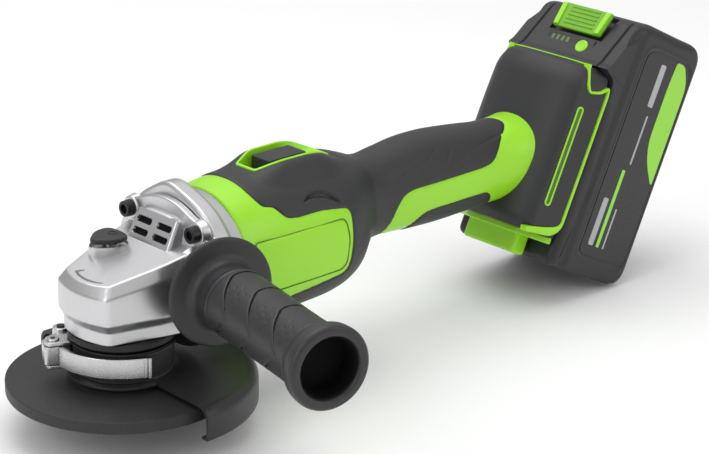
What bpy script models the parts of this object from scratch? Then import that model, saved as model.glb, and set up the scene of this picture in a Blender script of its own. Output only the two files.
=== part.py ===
"""Cordless angle grinder, 115 mm wheel, slide switch, side handle and slide-on battery.

Frame: metres, +Z up.  The spindle turns about the Z axis and its end face is at the origin.
+X runs back along the motor to the battery, and the side handle stands out to -Y.
Sizes below are written in millimetres and brought to metres by MM.
"""
import math

import bmesh
import bpy
from mathutils import Matrix, Vector

MM = 0.001
GAP = 0.3                       # clearance kept between two fixed pieces

# ---- driving dimensions, mm ----
WHEEL_Z = 4.0                   # middle of the wheel above the spindle's end face
WHEEL_R = 57.5
WHEEL_T = 6.0
BORE_R = 11.1
SPINDLE_R = 7.0                 # M14 thread
MOTOR_Z = 55.0                  # motor axis above the spindle's end face
NECK_R = 22.4                   # bearing cap that the guard clamps on
GUARD_R = 66.3
GUARD_TOP = 11.1
GUARD_BOTTOM = -6.0
SHEET = 1.6                     # guard's steel sheet
CASE_BOTTOM = 32.7
FLANGE_X = 31.0                 # back of the gear case
FLANGE_R = 37.5
HOUSING_X = 50.0                # front of the plastic housing
WALL = 3.0
SKIN = 2.0                      # rubber overmold
HANDLE_YAW = math.radians(12.5) # side handle leans forward by this much
HANDLE_AT = Vector((23.4, -45.4, 58.2))
HANDLE_LENGTH = 106.0
HANDLE_FLANGE_R = 27.3
STUD_R = 4.0                    # M8 stud of the side handle
FOOT_TILT = math.radians(26.0)  # battery rails lean back by this much
FOOT_FRONT, FOOT_BACK = 210.0, 237.0
FOOT_LOW, FOOT_TOP = 134.0, 230.5
FOOT_HALF = 36.5
PACK_HALF = 38.5
PACK_LOW, PACK_TOP = 120.0, 264.5
PACK_FRONT, PACK_SPLIT, PACK_BACK = 240.0, 256.0, 306.5
CELL_R, CELL_LENGTH, CELL_PITCH = 9.2, 65.0, 18.9
LOCK_AT = (4.0, 14.0)           # spindle lock, beside the spindle's axis
PIVOT_AT = (-30.2, 15.3)        # clamp lever's pin
LEVER_CENTRE = (5.45, 5.85)
LEVER_R = 36.7


# ---- scene ----
for old in list(bpy.data.objects):
    bpy.data.objects.remove(old, do_unlink=True)


def make_collection(name):
    """Return a new collection linked to the scene."""
    made = bpy.data.collections.new(name)
    bpy.context.scene.collection.children.link(made)
    return made


PARTS = make_collection("angle_grinder")
CUTTERS = make_collection("cutters")


def material(name, colour, roughness, metallic=0.0):
    """A Principled material of one colour."""
    made = bpy.data.materials.new(name)
    made.use_nodes = True
    shader = made.node_tree.nodes["Principled BSDF"]
    shader.inputs["Base Color"].default_value = (*colour, 1.0)
    shader.inputs["Roughness"].default_value = roughness
    shader.inputs["Metallic"].default_value = metallic
    return made


CAST = material("cast_aluminium", (0.62, 0.63, 0.64), 0.38, 1.0)
STEEL = material("steel", (0.55, 0.55, 0.56), 0.3, 1.0)
DARK_STEEL = material("blackened_steel", (0.05, 0.05, 0.055), 0.45, 0.6)
GREEN = material("green_plastic", (0.28, 0.72, 0.03), 0.42)
DARK = material("dark_plastic", (0.055, 0.055, 0.06), 0.5)
RUBBER = material("grip_rubber", (0.045, 0.045, 0.05), 0.65)
ABRASIVE = material("abrasive", (0.06, 0.06, 0.065), 0.9)
COPPER = material("copper", (0.72, 0.36, 0.2), 0.35, 1.0)
BOARD = material("circuit_board", (0.02, 0.16, 0.08), 0.5)
CELL = material("cell_sleeve", (0.1, 0.25, 0.5), 0.45)


# ---- modelling helpers, all in millimetres ----
def add_object(name, bm, paint, collection=PARTS, offset=(0, 0, 0), turn=None):
    """Put a bmesh in the scene as an object at an offset, scaled to metres."""
    bmesh.ops.recalc_face_normals(bm, faces=bm.faces)
    mesh = bpy.data.meshes.new(name)
    bm.to_mesh(mesh)
    bm.free()
    mesh.transform(Matrix.Scale(MM, 4))
    mesh.materials.append(paint)
    mesh.shade_smooth()
    mesh.set_sharp_from_angle(angle=math.radians(35))
    made = bpy.data.objects.new(name, mesh)
    if turn is not None:
        made.rotation_euler = turn.to_euler()
    made.location = Vector(offset) * MM
    collection.objects.link(made)
    if collection is CUTTERS:
        made.hide_render = True
        made.display_type = "WIRE"
    return made


def box(name, low, high, paint=DARK, collection=PARTS, frame=Matrix.Identity(4)):
    """A box between two corners, in its own frame."""
    bm = bmesh.new()
    bmesh.ops.create_cube(bm, size=1.0)
    size = [b - a for a, b in zip(low, high)]
    middle = [(a + b) / 2 for a, b in zip(low, high)]
    bmesh.ops.scale(bm, vec=size, verts=bm.verts)
    bmesh.ops.translate(bm, vec=middle, verts=bm.verts)
    bmesh.ops.transform(bm, matrix=frame, verts=bm.verts)
    return add_object(name, bm, paint, collection)


def rod(name, start, end, radius, paint=STEEL, collection=PARTS, segments=16, tip=None):
    """A round bar, or a cone when tip is another radius, between two points."""
    start, end = Vector(start), Vector(end)
    along = end - start
    bm = bmesh.new()
    bmesh.ops.create_cone(bm, cap_ends=True, segments=segments, radius1=radius,
                          radius2=radius if tip is None else tip, depth=along.length)
    bmesh.ops.rotate(bm, matrix=along.to_track_quat("Z", "Y").to_matrix(), verts=bm.verts)
    bmesh.ops.translate(bm, vec=(start + end) / 2, verts=bm.verts)
    return add_object(name, bm, paint, collection)


def swept(name, profile, paint, centre=(0, 0), start=0.0, sweep=360.0, steps=32,
          collection=PARTS, turn=None, offset=(0, 0, 0)):
    """Sweep a closed (radius, height) profile round an upright axis, by an angle in degrees."""
    bm = bmesh.new()
    first = math.radians(start)
    ring = [bm.verts.new((centre[0] + r * math.cos(first), centre[1] + r * math.sin(first), h))
            for r, h in profile]
    face = bm.faces.new(ring)
    full = abs(sweep) >= 360.0
    geometry = list(face.edges) + ring + ([] if full else [face])
    if full:
        bm.faces.remove(face)
        geometry = list(bm.edges) + ring
    bmesh.ops.spin(bm, geom=geometry, cent=(centre[0], centre[1], 0), axis=(0, 0, 1),
                   angle=math.radians(sweep), steps=steps, use_merge=full)
    bmesh.ops.remove_doubles(bm, verts=bm.verts, dist=0.001)
    return add_object(name, bm, paint, collection, offset=offset, turn=turn)


def turned(name, profile, paint, along="Z", at=(0, 0, 0), steps=32, collection=PARTS):
    """Turn an outline with a Screw modifier; (radius, height) runs top to bottom outside."""
    mesh = bpy.data.meshes.new(name)
    points = [(r * MM, 0.0, h * MM) for r, h in profile]
    closed = profile[0][0] > 0.0
    edges = [(i, i + 1) for i in range(len(points) - 1)]
    if closed:
        edges.append((len(points) - 1, 0))
    mesh.from_pydata(points, edges, [])
    mesh.materials.append(paint)
    made = bpy.data.objects.new(name, mesh)
    screw = made.modifiers.new("turn", "SCREW")
    screw.steps = screw.render_steps = steps
    screw.use_merge_vertices = True
    screw.merge_threshold = 0.00001
    made.location = Vector(at) * MM
    if along == "X":
        made.rotation_euler = (0.0, math.radians(90.0), 0.0)
    collection.objects.link(made)
    if collection is CUTTERS:
        made.hide_render = True
        made.display_type = "WIRE"
    return made


def loft(name, sections, paint, collection=PARTS):
    """Skin a row of closed outlines that all have the same number of points, and cap both ends."""
    bm = bmesh.new()
    rings = [[bm.verts.new(point) for point in section] for section in sections]
    for near, far in zip(rings, rings[1:]):
        for i in range(len(near)):
            j = (i + 1) % len(near)
            bm.faces.new((near[i], near[j], far[j], far[i]))
    bm.faces.new(rings[0][::-1])
    bm.faces.new(rings[-1])
    return add_object(name, bm, paint, collection)


def boolean(target, other, operation="DIFFERENCE"):
    """Cut, join or intersect a part with another object."""
    cut = target.modifiers.new(operation.lower(), "BOOLEAN")
    cut.operation = operation
    cut.solver = "EXACT"
    cut.object = other


# ---- frames of the tilted foot and of the side handle ----
SIN, COS = math.sin(FOOT_TILT), math.cos(FOOT_TILT)
FOOT = Matrix(((COS, 0, SIN, 0), (0, 1, 0, 0), (-SIN, 0, COS, WHEEL_Z), (0, 0, 0, 1)))


def foot_point(n, y, l):
    """World place of a point n back from the rails' normal plane and l up along the rails."""
    return FOOT @ Vector((n, y, l))


HANDLE_DIR = Vector((-math.sin(HANDLE_YAW), -math.cos(HANDLE_YAW), 0.0))


def along_handle(distance):
    """A point on the side handle's axis, measured outwards from its flange."""
    return HANDLE_AT + HANDLE_DIR * distance


# ---- wheel and spindle ----
def build_spindle():
    """Spindle, bevel gear, flanges and the grinding wheel: everything that spins upright."""
    shoulder = 9.0
    turned("spindle", [(0, 63.0), (4.0, 63.0), (4.0, 49.0), (6.0, 49.0), (6.0, 37.0),
                       (7.4, 37.0), (7.4, 20.0), (shoulder, 20.0), (shoulder, 14.2),
                       (SPINDLE_R, 14.2), (SPINDLE_R, 0.0), (0, 0.0)], STEEL, steps=20)
    low, high = WHEEL_Z - WHEEL_T / 2, WHEEL_Z + WHEEL_T / 2
    hub = high + 3.2
    turned("grinding_disc", [(BORE_R, hub), (18.0, hub), (26.0, high), (WHEEL_R - 1.5, high),
                             (WHEEL_R, high - 1.5), (WHEEL_R, low), (28.0, low),
                             (19.5, low + 3.2), (BORE_R, low + 3.2)], ABRASIVE, steps=48)
    turned("inner_flange", [(SPINDLE_R + 0.1, 13.8), (16.0, 13.8), (16.0, hub + GAP),
                            (SPINDLE_R + 0.1, hub + GAP)], STEEL, steps=32)
    turned("lock_nut", [(SPINDLE_R + 0.1, low + 3.2 - GAP), (16.5, low + 3.2 - GAP),
                        (16.5, 0.9), (15.5, 0.0), (SPINDLE_R + 0.1, 0.0)], DARK_STEEL, steps=32)
    gear = turned("drive_gear", [(6.1, 46.0), (9.5, 46.0), (9.5, 43.5), (17.2, 43.5),
                                 (17.2, 48.5), (21.0, 45.5), (21.0, 39.5), (6.1, 39.5)],
                  STEEL, steps=40)
    hole_ring = math.hypot(*LOCK_AT)
    first = math.atan2(LOCK_AT[1], LOCK_AT[0])
    for k in range(4):
        angle = first + k * math.pi / 2
        x, y = hole_ring * math.cos(angle), hole_ring * math.sin(angle)
        boolean(gear, rod(f"gear_hole_{k}", (x, y, 38.0), (x, y, 45.0), 2.2,
                          collection=CUTTERS, segments=12))


def bearing(name, inner, outer, low, high, along="Z", at=(0, 0, 0)):
    """A ball bearing as one ring."""
    turned(name, [(inner, high), (outer, high), (outer, low), (inner, low)],
           STEEL, along=along, at=at, steps=24)


# ---- gear head ----
def head_outline(inset, front, z_of):
    """Plan outline of the gear head: a bowed front and sides that widen to the back."""
    half_front, half_back = 19.8 - inset, 31.0 - inset
    bow = 4.0
    nose = [(front + bow * (y / half_front) ** 2, y)
            for y in (-half_front, -half_front / 2, 0.0, half_front / 2, half_front)]
    plan = nose + [(7.0, 27.5 - inset), (FLANGE_X, half_back),
                   (FLANGE_X, -half_back), (7.0, -27.5 + inset)]
    return [(x, y, z_of(x)) for x, y in plan]


def build_head():
    """Cast gear case, bearing cap, bearings and the two upper case screws."""
    case = loft("gear_case", [
        head_outline(1.8, -25.8, lambda x: CASE_BOTTOM),
        head_outline(1.8, -25.8, lambda x: 39.8),
        head_outline(0.0, -27.6, lambda x: 43.6),
        head_outline(0.0, -27.6, lambda x: 57.3 + 0.16 * (x + 24.0)),
        head_outline(3.0, -24.4, lambda x: 61.7 + 0.233 * (x + 24.4))], CAST)
    flange = rod("case_flange", (FLANGE_X - 4.0, 0, MOTOR_Z), (FLANGE_X, 0, MOTOR_Z), FLANGE_R,
                 collection=CUTTERS, segments=48)
    boolean(case, flange, "UNION")
    vent = loft("case_vent", [
        [(14.0, -14.5, 66.0), (14.0, 14.5, 66.0), (30.0, 20.0, 66.0), (30.0, -20.0, 66.0)],
        [(16.8, -14.5, 71.3), (16.8, 14.5, 71.3), (30.0, 20.0, 74.5), (30.0, -20.0, 74.5)],
        [(24.7, -13.5, 83.8), (24.7, 13.5, 83.8), (30.0, 15.0, 86.5), (30.0, -15.0, 86.5)]],
        CAST, CUTTERS)
    boolean(case, vent, "UNION")
    seat = HANDLE_DIR * -1.0
    boss = rod("case_boss", along_handle(-1.5), HANDLE_AT + seat * 20.0, 12.5,
               collection=CUTTERS, segments=24)
    boolean(case, boss, "UNION")
    boolean(case, box("case_back", (FLANGE_X, -60.0, 10.0), (60.0, 60.0, 110.0),
                      collection=CUTTERS))
    x, y = LOCK_AT
    lock_boss = rod("lock_boss", (x, y, 60.0), (x, y, 69.3), 9.4, collection=CUTTERS, segments=28)
    boolean(case, lock_boss, "UNION")
    boolean(case, rod("lock_seat", (x, y, 69.3), (x, y, 90.0), 9.2, collection=CUTTERS,
                      segments=28))
    boolean(case, rod("case_bore", (0, 0, 30.0), (0, 0, 58.0), 22.5, collection=CUTTERS,
                      segments=32))
    boolean(case, rod("case_back_bore", (6.0, 0, MOTOR_Z), (FLANGE_X + 1, 0, MOTOR_Z), 16.0,
                      collection=CUTTERS, segments=24))
    boolean(case, rod("case_bearing_bore", (0, 0, 57.0), (0, 0, 63.4), 8.1,
                      collection=CUTTERS, segments=24))
    boolean(case, rod("lock_bore", (x, y, 55.0), (x, y, 64.0), 2.2,
                      collection=CUTTERS, segments=16))
    boolean(case, rod("lock_well", (x, y, 62.9), (x, y, 73.0), 5.2,
                      collection=CUTTERS, segments=16))
    boolean(case, rod("stud_bore", along_handle(-12.0), along_handle(1.0), STUD_R + 0.1,
                      collection=CUTTERS, segments=16))
    turned("bearing_cap", [(15.2, 32.4), (26.6, 32.4), (26.6, 28.9), (NECK_R, 28.9),
                           (NECK_R, 15.0), (9.6, 15.0), (9.6, 19.0), (15.2, 19.0)],
           DARK_STEEL, steps=40)
    bearing("spindle_bearing_lower", 7.5, 15.1, 20.3, 30.0)
    bearing("spindle_bearing_upper", 4.1, 8.0, 57.3, 63.0)
    for name, side in (("case_screw_left", 1), ("case_screw_right", -1)):
        socket_screw(name, (FLANGE_X, side * 25.0, 80.5))


def socket_screw(name, at):
    """Black socket-head screw that lies along X, its head in front of the flange."""
    x, y, z = at
    screw = rod(name, (x - 9.0, y, z), (x - 4.0 - GAP, y, z), 4.2, DARK_STEEL, segments=16)
    boolean(screw, rod(name + "_socket", (x - 10.0, y, z), (x - 6.5, y, z), 2.0,
                       collection=CUTTERS, segments=6))


# ---- guard with its clamp ----
def build_guard():
    """Half-round sheet guard, the band that clamps it and the quick-release lever."""
    low = GUARD_TOP - SHEET
    half = [(26.0, low), (GUARD_R - SHEET - 2.4, low), (GUARD_R - SHEET, low - 2.4),
            (GUARD_R - SHEET, GUARD_BOTTOM + 1.4), (GUARD_R - 5.0, GUARD_BOTTOM + 1.4),
            (GUARD_R - 5.0, GUARD_BOTTOM), (GUARD_R - 0.6, GUARD_BOTTOM),
            (GUARD_R, GUARD_BOTTOM + 0.8), (GUARD_R, GUARD_TOP - 3.0),
            (GUARD_R - 3.0, GUARD_TOP), (26.0, GUARD_TOP)]
    guard = swept("wheel_guard", half, DARK_STEEL, start=-91.0, sweep=182.0, steps=28)
    collar = turned("guard_collar", [(NECK_R + 0.25, 14.6), (24.2, 14.6), (24.2, GUARD_TOP),
                                     (27.5, GUARD_TOP), (27.5, low), (NECK_R + 0.25, low)],
                    DARK_STEEL, collection=CUTTERS, steps=40)
    boolean(guard, collar, "UNION")
    angle = math.degrees(math.atan2(PIVOT_AT[1], PIVOT_AT[0]))
    band = swept("guard_clamp_band", [(NECK_R + 0.25, 14.9), (25.6, 14.9), (25.6, 27.6),
                                      (NECK_R + 0.25, 27.6)],
                 DARK_STEEL, start=angle - 3.0, sweep=-348.0, steps=44)
    reach = math.hypot(*PIVOT_AT)
    ear_frame = Matrix.Rotation(math.radians(angle), 4, "Z")
    for name, low_z, high_z in (("ear_low", 14.8, 16.6), ("ear_high", 26.4, 27.7)):
        ear = box(name, (24.2, -11.0, low_z), (reach + 4.6, 4.6, high_z), STEEL, CUTTERS, ear_frame)
        boolean(band, ear, "UNION")
    px, py = PIVOT_AT
    boolean(band, rod("ear_bore", (px, py, 10), (px, py, 32), 2.3, collection=CUTTERS, segments=16))
    turned("clamp_pivot_pin", [(0, 29.4), (3.2, 29.4), (3.2, 27.9), (2.0, 27.9), (2.0, 14.6),
                               (0, 14.6)], STEEL, at=(px, py, 0), steps=16)
    lever = swept("clamp_lever", [(LEVER_R - 2.2, 17.0), (LEVER_R, 17.0), (LEVER_R, 26.1),
                                  (LEVER_R - 2.2, 26.1)],
                  STEEL, centre=LEVER_CENTRE, start=168.5, sweep=84.0, steps=20)
    eye = turned("lever_eye", [(0, 26.2), (4.2, 26.2), (4.2, 16.9), (0, 16.9)], STEEL,
                 at=(px, py, 0), steps=16, collection=CUTTERS)
    boolean(lever, eye, "UNION")
    boolean(lever, rod("lever_bore", (px, py, 10), (px, py, 32), 2.1,
                       collection=CUTTERS, segments=16))
    end = math.radians(168.5 + 84.0)
    tab_frame = (Matrix.Translation((LEVER_CENTRE[0], LEVER_CENTRE[1], 0))
                 @ Matrix.Rotation(end, 4, "Z"))
    tab = box("lever_tab", (LEVER_R - 1.9, -1.5, 17.1), (LEVER_R + 2.2, 1.2, 26.0), STEEL,
              CUTTERS, tab_frame)
    boolean(lever, tab, "UNION")


# ---- spindle lock ----
def build_lock():
    """Button, pin and return spring that stop the spindle for changing a wheel."""
    x, y = LOCK_AT
    rod("lock_button", (x, y, 71.9), (x, y, 75.2), 8.5, DARK, segments=28, tip=7.8)
    turned("lock_pin", [(0, 71.6), (3.0, 71.6), (3.0, 70.1), (2.0, 70.1), (2.0, 44.3), (0, 44.3)],
           STEEL, at=(x, y, 0), steps=16)
    turns, points = 3.5, 36
    coil = bpy.data.curves.new("lock_spring", "CURVE")
    coil.dimensions = "3D"
    coil.bevel_depth = 0.4 * MM
    coil.bevel_resolution = 1
    coil.use_fill_caps = True
    line = coil.splines.new("POLY")
    line.points.add(points - 1)
    for i, point in enumerate(line.points):
        part = i / (points - 1)
        angle = 2 * math.pi * turns * part
        point.co = ((x + 3.9 * math.cos(angle)) * MM, (y + 3.9 * math.sin(angle)) * MM,
                    (63.4 + 7.1 * part) * MM, 1.0)
    made = bpy.data.objects.new("lock_spring", coil)
    coil.materials.append(STEEL)
    PARTS.objects.link(made)


# ---- motor ----
def build_motor():
    """Brushless motor: shaft, pinion, fan, rotor, stator, bearings and the cast front flange."""
    axis = (0, 0, MOTOR_Z)
    rod("rotor_shaft", (12.0, 0, MOTOR_Z), (124.0, 0, MOTOR_Z), 4.0, STEEL, segments=16)
    turned("pinion", [(4.1, 27.5), (7.2, 27.5), (5.2, 13.0), (4.1, 13.0)], STEEL, "X", axis, 20)
    turned("rotor_core", [(4.1, 98.0), (16.0, 98.0), (16.0, 64.0), (4.1, 64.0)],
           STEEL, "X", axis, 28)
    turned("motor_stator", [(16.6, 100.0), (28.5, 100.0), (28.5, 62.0), (16.6, 62.0)],
           COPPER, "X", axis, 36)
    fan = turned("cooling_fan", [(4.1, 60.0), (9.0, 60.0), (9.0, 54.0), (28.0, 54.0),
                                 (28.0, 52.4), (4.1, 52.4)], DARK, "X", axis, 32)
    for k in range(9):
        spin = Matrix.Translation((0, 0, MOTOR_Z)) @ Matrix.Rotation(k * math.tau / 9, 4, "X")
        blade = box(f"fan_blade_{k}", (53.2, -0.7, 8.0), (60.0, 0.7, 27.5), DARK, CUTTERS, spin)
        boolean(fan, blade, "UNION")
    bearing("rotor_bearing_front", 4.1, 11.0, 34.3, 41.7, "X", axis)
    bearing("rotor_bearing_rear", 4.1, 11.0, 108.0, 115.0, "X", axis)
    turned("motor_flange", [(31.5, 49.7), (35.6, 49.7), (36.4, 43.0), (39.8, 41.5), (40.8, 40.0),
                            (40.8, 34.5), (39.0, FLANGE_X + GAP), (11.1, FLANGE_X + GAP),
                            (11.1, 41.7), (14.0, 41.7), (16.0, 35.0), (31.5, 35.0)],
           CAST, "X", axis, 36)


# ---- plastic housing ----
# x, height of the section's middle, half width, half height
STATIONS = [(50.3, 55.6, 34.0, 36.6), (64.0, 56.6, 34.4, 37.6), (84.0, 57.0, 34.6, 38.2),
            (104.0, 57.2, 34.6, 38.2), (120.0, 57.4, 33.8, 37.2), (130.0, 57.8, 31.6, 35.6),
            (138.0, 58.6, 28.2, 33.0), (145.0, 60.6, 23.6, 28.6), (151.0, 62.4, 19.8, 24.4),
            (158.0, 62.8, 18.4, 22.8), (170.0, 63.2, 18.6, 23.6), (188.0, 63.8, 19.4, 25.2),
            (205.0, 63.6, 19.6, 25.6), (222.0, 63.0, 19.4, 24.8), (236.0, 62.4, 19.4, 23.8),
            (247.0, 61.8, 19.3, 23.0)]
TAIL = (272.0, 60.4, 19.2, 21.4) # where the shells run into the foot
ROUNDNESS = 2.25                # 2 is an ellipse, more is squarer


def section(station, inset, start=0.0, end=360.0, count=24):
    """Points of a rounded section from one angle to another; 0 degrees points to +Y."""
    x, middle, half_width, half_height = station
    points = []
    closed = end - start >= 360.0
    for i in range(count):
        part = i / (count if closed else count - 1)
        angle = math.radians(start + (end - start) * part)
        c, s = math.cos(angle), math.sin(angle)
        points.append((x, (half_width - inset) * math.copysign(abs(c) ** (2 / ROUNDNESS), c),
                       middle + (half_height - inset) * math.copysign(abs(s) ** (2 / ROUNDNESS), s)))
    return points


def build_housing():
    """Left and right halves of the housing, from the motor flange to the battery foot."""
    shell = [section(s, SKIN) for s in STATIONS + [TAIL]]
    inner_front = (45.0, 55.0, 34.0, 36.0)
    hollow = loft("housing_hollow", [section(s, SKIN + WALL) for s in
                                     [inner_front] + STATIONS + [(266.0, 60.8, 19.2, 21.9)]],
                  DARK, CUTTERS)
    foot = loft("foot_outer", foot_sections(0.0, FOOT_LOW, FOOT_TOP, FOOT_BACK), DARK, CUTTERS)
    bay = loft("foot_hollow", foot_sections(WALL, FOOT_LOW + WALL, FOOT_TOP - WALL,
                                            FOOT_BACK + 4.0), DARK, CUTTERS)
    rails_way = box("rails_way", (222.0, -29.0, 160.0), (FOOT_BACK + 4.0, 29.0, FOOT_TOP + 5.0),
                    DARK, CUTTERS, FOOT)
    opening = box("switch_opening", (77.0, -14.5, 80.0), (122.0, 14.5, 110.0), DARK, CUTTERS)
    for name, low, high in (("housing_left", GAP / 2, 60.0), ("housing_right", -60.0, -GAP / 2)):
        half = loft(name, shell, GREEN)
        boolean(half, foot, "UNION")
        for cutter in (hollow, bay, rails_way, opening):
            boolean(half, cutter)
        side = box(name + "_side", (40.0, low, -60.0), (360.0, high, 160.0), DARK, CUTTERS)
        boolean(half, side, "INTERSECT")
    rubber = [section(s, SKIN - GAP, -32.0, 212.0, 19) +
              section(s, 0.0, -32.0, 212.0, 19)[::-1] for s in STATIONS[1:]]
    over = loft("grip_overmold", rubber, RUBBER)
    boolean(over, opening)


def foot_sections(inset, low, high, back):
    """Outlines of the foot along the rails: bowed towards the handle, flat at the battery."""
    sections = []
    for l, shrink in ((low, 3.0), (low + 5.0, 0.0), (high - 9.0, 0.0), (high, 4.0)):
        half = FOOT_HALF - inset - shrink * 0.5
        front = FOOT_FRONT + inset + shrink
        plan = [(front, -12.0), (front, 12.0), (front + 4.0, half * 0.68), (front + 15.0, half - 2.5),
                (back, half), (back, -half), (front + 15.0, -half + 2.5), (front + 4.0, -half * 0.68)]
        sections.append([foot_point(n, y, l) for n, y in plan])
    return sections


def build_switch():
    """Bezel, slider, its push rod, the switch and the control board."""
    bezel = loft("switch_bezel", bezel_outlines(0.0), GREEN)
    boolean(bezel, loft("bezel_hole", bezel_outlines(2.6), GREEN, CUTTERS))
    slider = box("switch_slider", (90.0, -6.0, 87.0), (113.0, 6.0, 98.0), DARK)
    boolean(slider, box("slider_stem", (108.0, -3.0, 73.0), (112.0, 3.0, 88.0), DARK, CUTTERS),
            "UNION")
    boolean(slider, box("slider_ramp", (88.0, -8.0, 0.0), (102.0, 8.0, 8.0), DARK, CUTTERS,
                        Matrix.Translation((0, 0, 95.4)) @ Matrix.Rotation(-0.03, 4, "Y")))
    box("switch_rod", (112.0 + GAP, -2.5, 73.2), (161.0, 2.5, 76.2), STEEL)
    box("switch_module", (153.0 + 8.6, -8.0, 54.0), (188.0, 8.0, 77.5), DARK)
    box("control_board", (127.0, -19.0, 40.0), (129.0, 19.0, 72.0), BOARD)


def bezel_outlines(inset):
    """Bezel outline at its foot and at its rim: a narrow nose that widens to the back."""
    low = 88.6 if inset == 0.0 else 80.0
    rise = 0.0 if inset == 0.0 else 6.0
    plan = [(78.4, 8.0, 96.4), (90.0, 12.0, 99.6), (110.0, 12.0, 99.6), (117.5, 11.0, 99.0),
            (117.5, -11.0, 99.0), (110.0, -12.0, 99.6), (90.0, -12.0, 99.6), (78.4, -8.0, 96.4)]
    middle = 98.0
    shrink = 1.0 - inset / 19.5
    narrow = 1.0 - inset / 12.0
    flat = [(middle + (x - middle) * shrink, y * narrow, z) for x, y, z in plan]
    return [[(x, y, low) for x, y, z in flat], [(x, y, z + rise) for x, y, z in flat]]


# ---- trims ----
def build_trims():
    """Green collar where the grip meets the foot, seam frame and bumper under the foot."""
    outer = [(247.3, 61.8, 19.3, 23.0), (256.0, 61.6, 20.6, 22.8), (267.0, 61.2, 22.0, 22.6)]
    ring = loft("handle_collar", [section(s, 0.0) for s in outer], GREEN)
    boolean(ring, loft("collar_hole", [section(s, SKIN - GAP) for s in
                                       (STATIONS[-1], TAIL)],
                       GREEN, CUTTERS))
    foot_clear = loft("collar_foot_clear", foot_sections(-GAP, FOOT_LOW, FOOT_TOP, FOOT_BACK),
                      DARK, CUTTERS)
    boolean(ring, foot_clear)
    trim = box("foot_trim", (FOOT_BACK + GAP, -PACK_HALF, FOOT_LOW + 2.0),
               (FOOT_BACK + 2.4, PACK_HALF, 224.5), GREEN, frame=FOOT)
    boolean(trim, box("trim_hole", (FOOT_BACK - 4, -33.5, FOOT_LOW + 6.0),
                      (FOOT_BACK + 6, 33.5, 240.0), GREEN, CUTTERS, FOOT))
    box("foot_bumper", (226.0, -19.0, 119.5), (PACK_FRONT - GAP - 2.0, 19.0, FOOT_LOW - GAP),
        GREEN, frame=FOOT)


# ---- side handle ----
def build_side_handle():
    """Moulded grip with a thumb guard flange, screwed into the gear case by its steel stud."""
    length = HANDLE_LENGTH
    profile = [(0, 92.0 - length), (15.0, 92.0 - length), (15.0, 0.0), (19.9, 0.0),
               (19.9, -4.5), (17.4, -9.0), (16.2, -30.0), (16.4, -70.0), (17.0, -92.0),
               (20.0, -98.0), (HANDLE_FLANGE_R - 1.0, -102.4), (HANDLE_FLANGE_R, -103.4),
               (HANDLE_FLANGE_R, -105.4), (0, -106.0)]
    grip = turned("side_handle_grip", profile, RUBBER, steps=28)
    grip.rotation_euler = HANDLE_DIR.to_track_quat("Z", "Y").to_euler()
    grip.location = along_handle(length) * MM
    rod("side_handle_stud", along_handle(-0.4), along_handle(-11.0), STUD_R, STEEL, segments=16)


# ---- battery ----
def pack_box(name, low, high, bevel, collection=PARTS):
    """A box in the foot's frame with rounded edges."""
    made = box(name, low, high, DARK, collection, FOOT)
    rounding = made.modifiers.new("edges", "BEVEL")
    rounding.width = bevel * MM
    rounding.segments = 2
    return made


def latch_frame():
    """Frame of the sloping top of the pack: X out of the face, Z up along it."""
    slope = math.radians(43.0)
    origin = foot_point(238.6, 0, 248.0)
    s, c = math.sin(slope), math.cos(slope)
    return Matrix(((-c, 0, s, origin.x), (0, 1, 0, 0), (s, 0, c, origin.z), (0, 0, 0, 1)))


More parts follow.
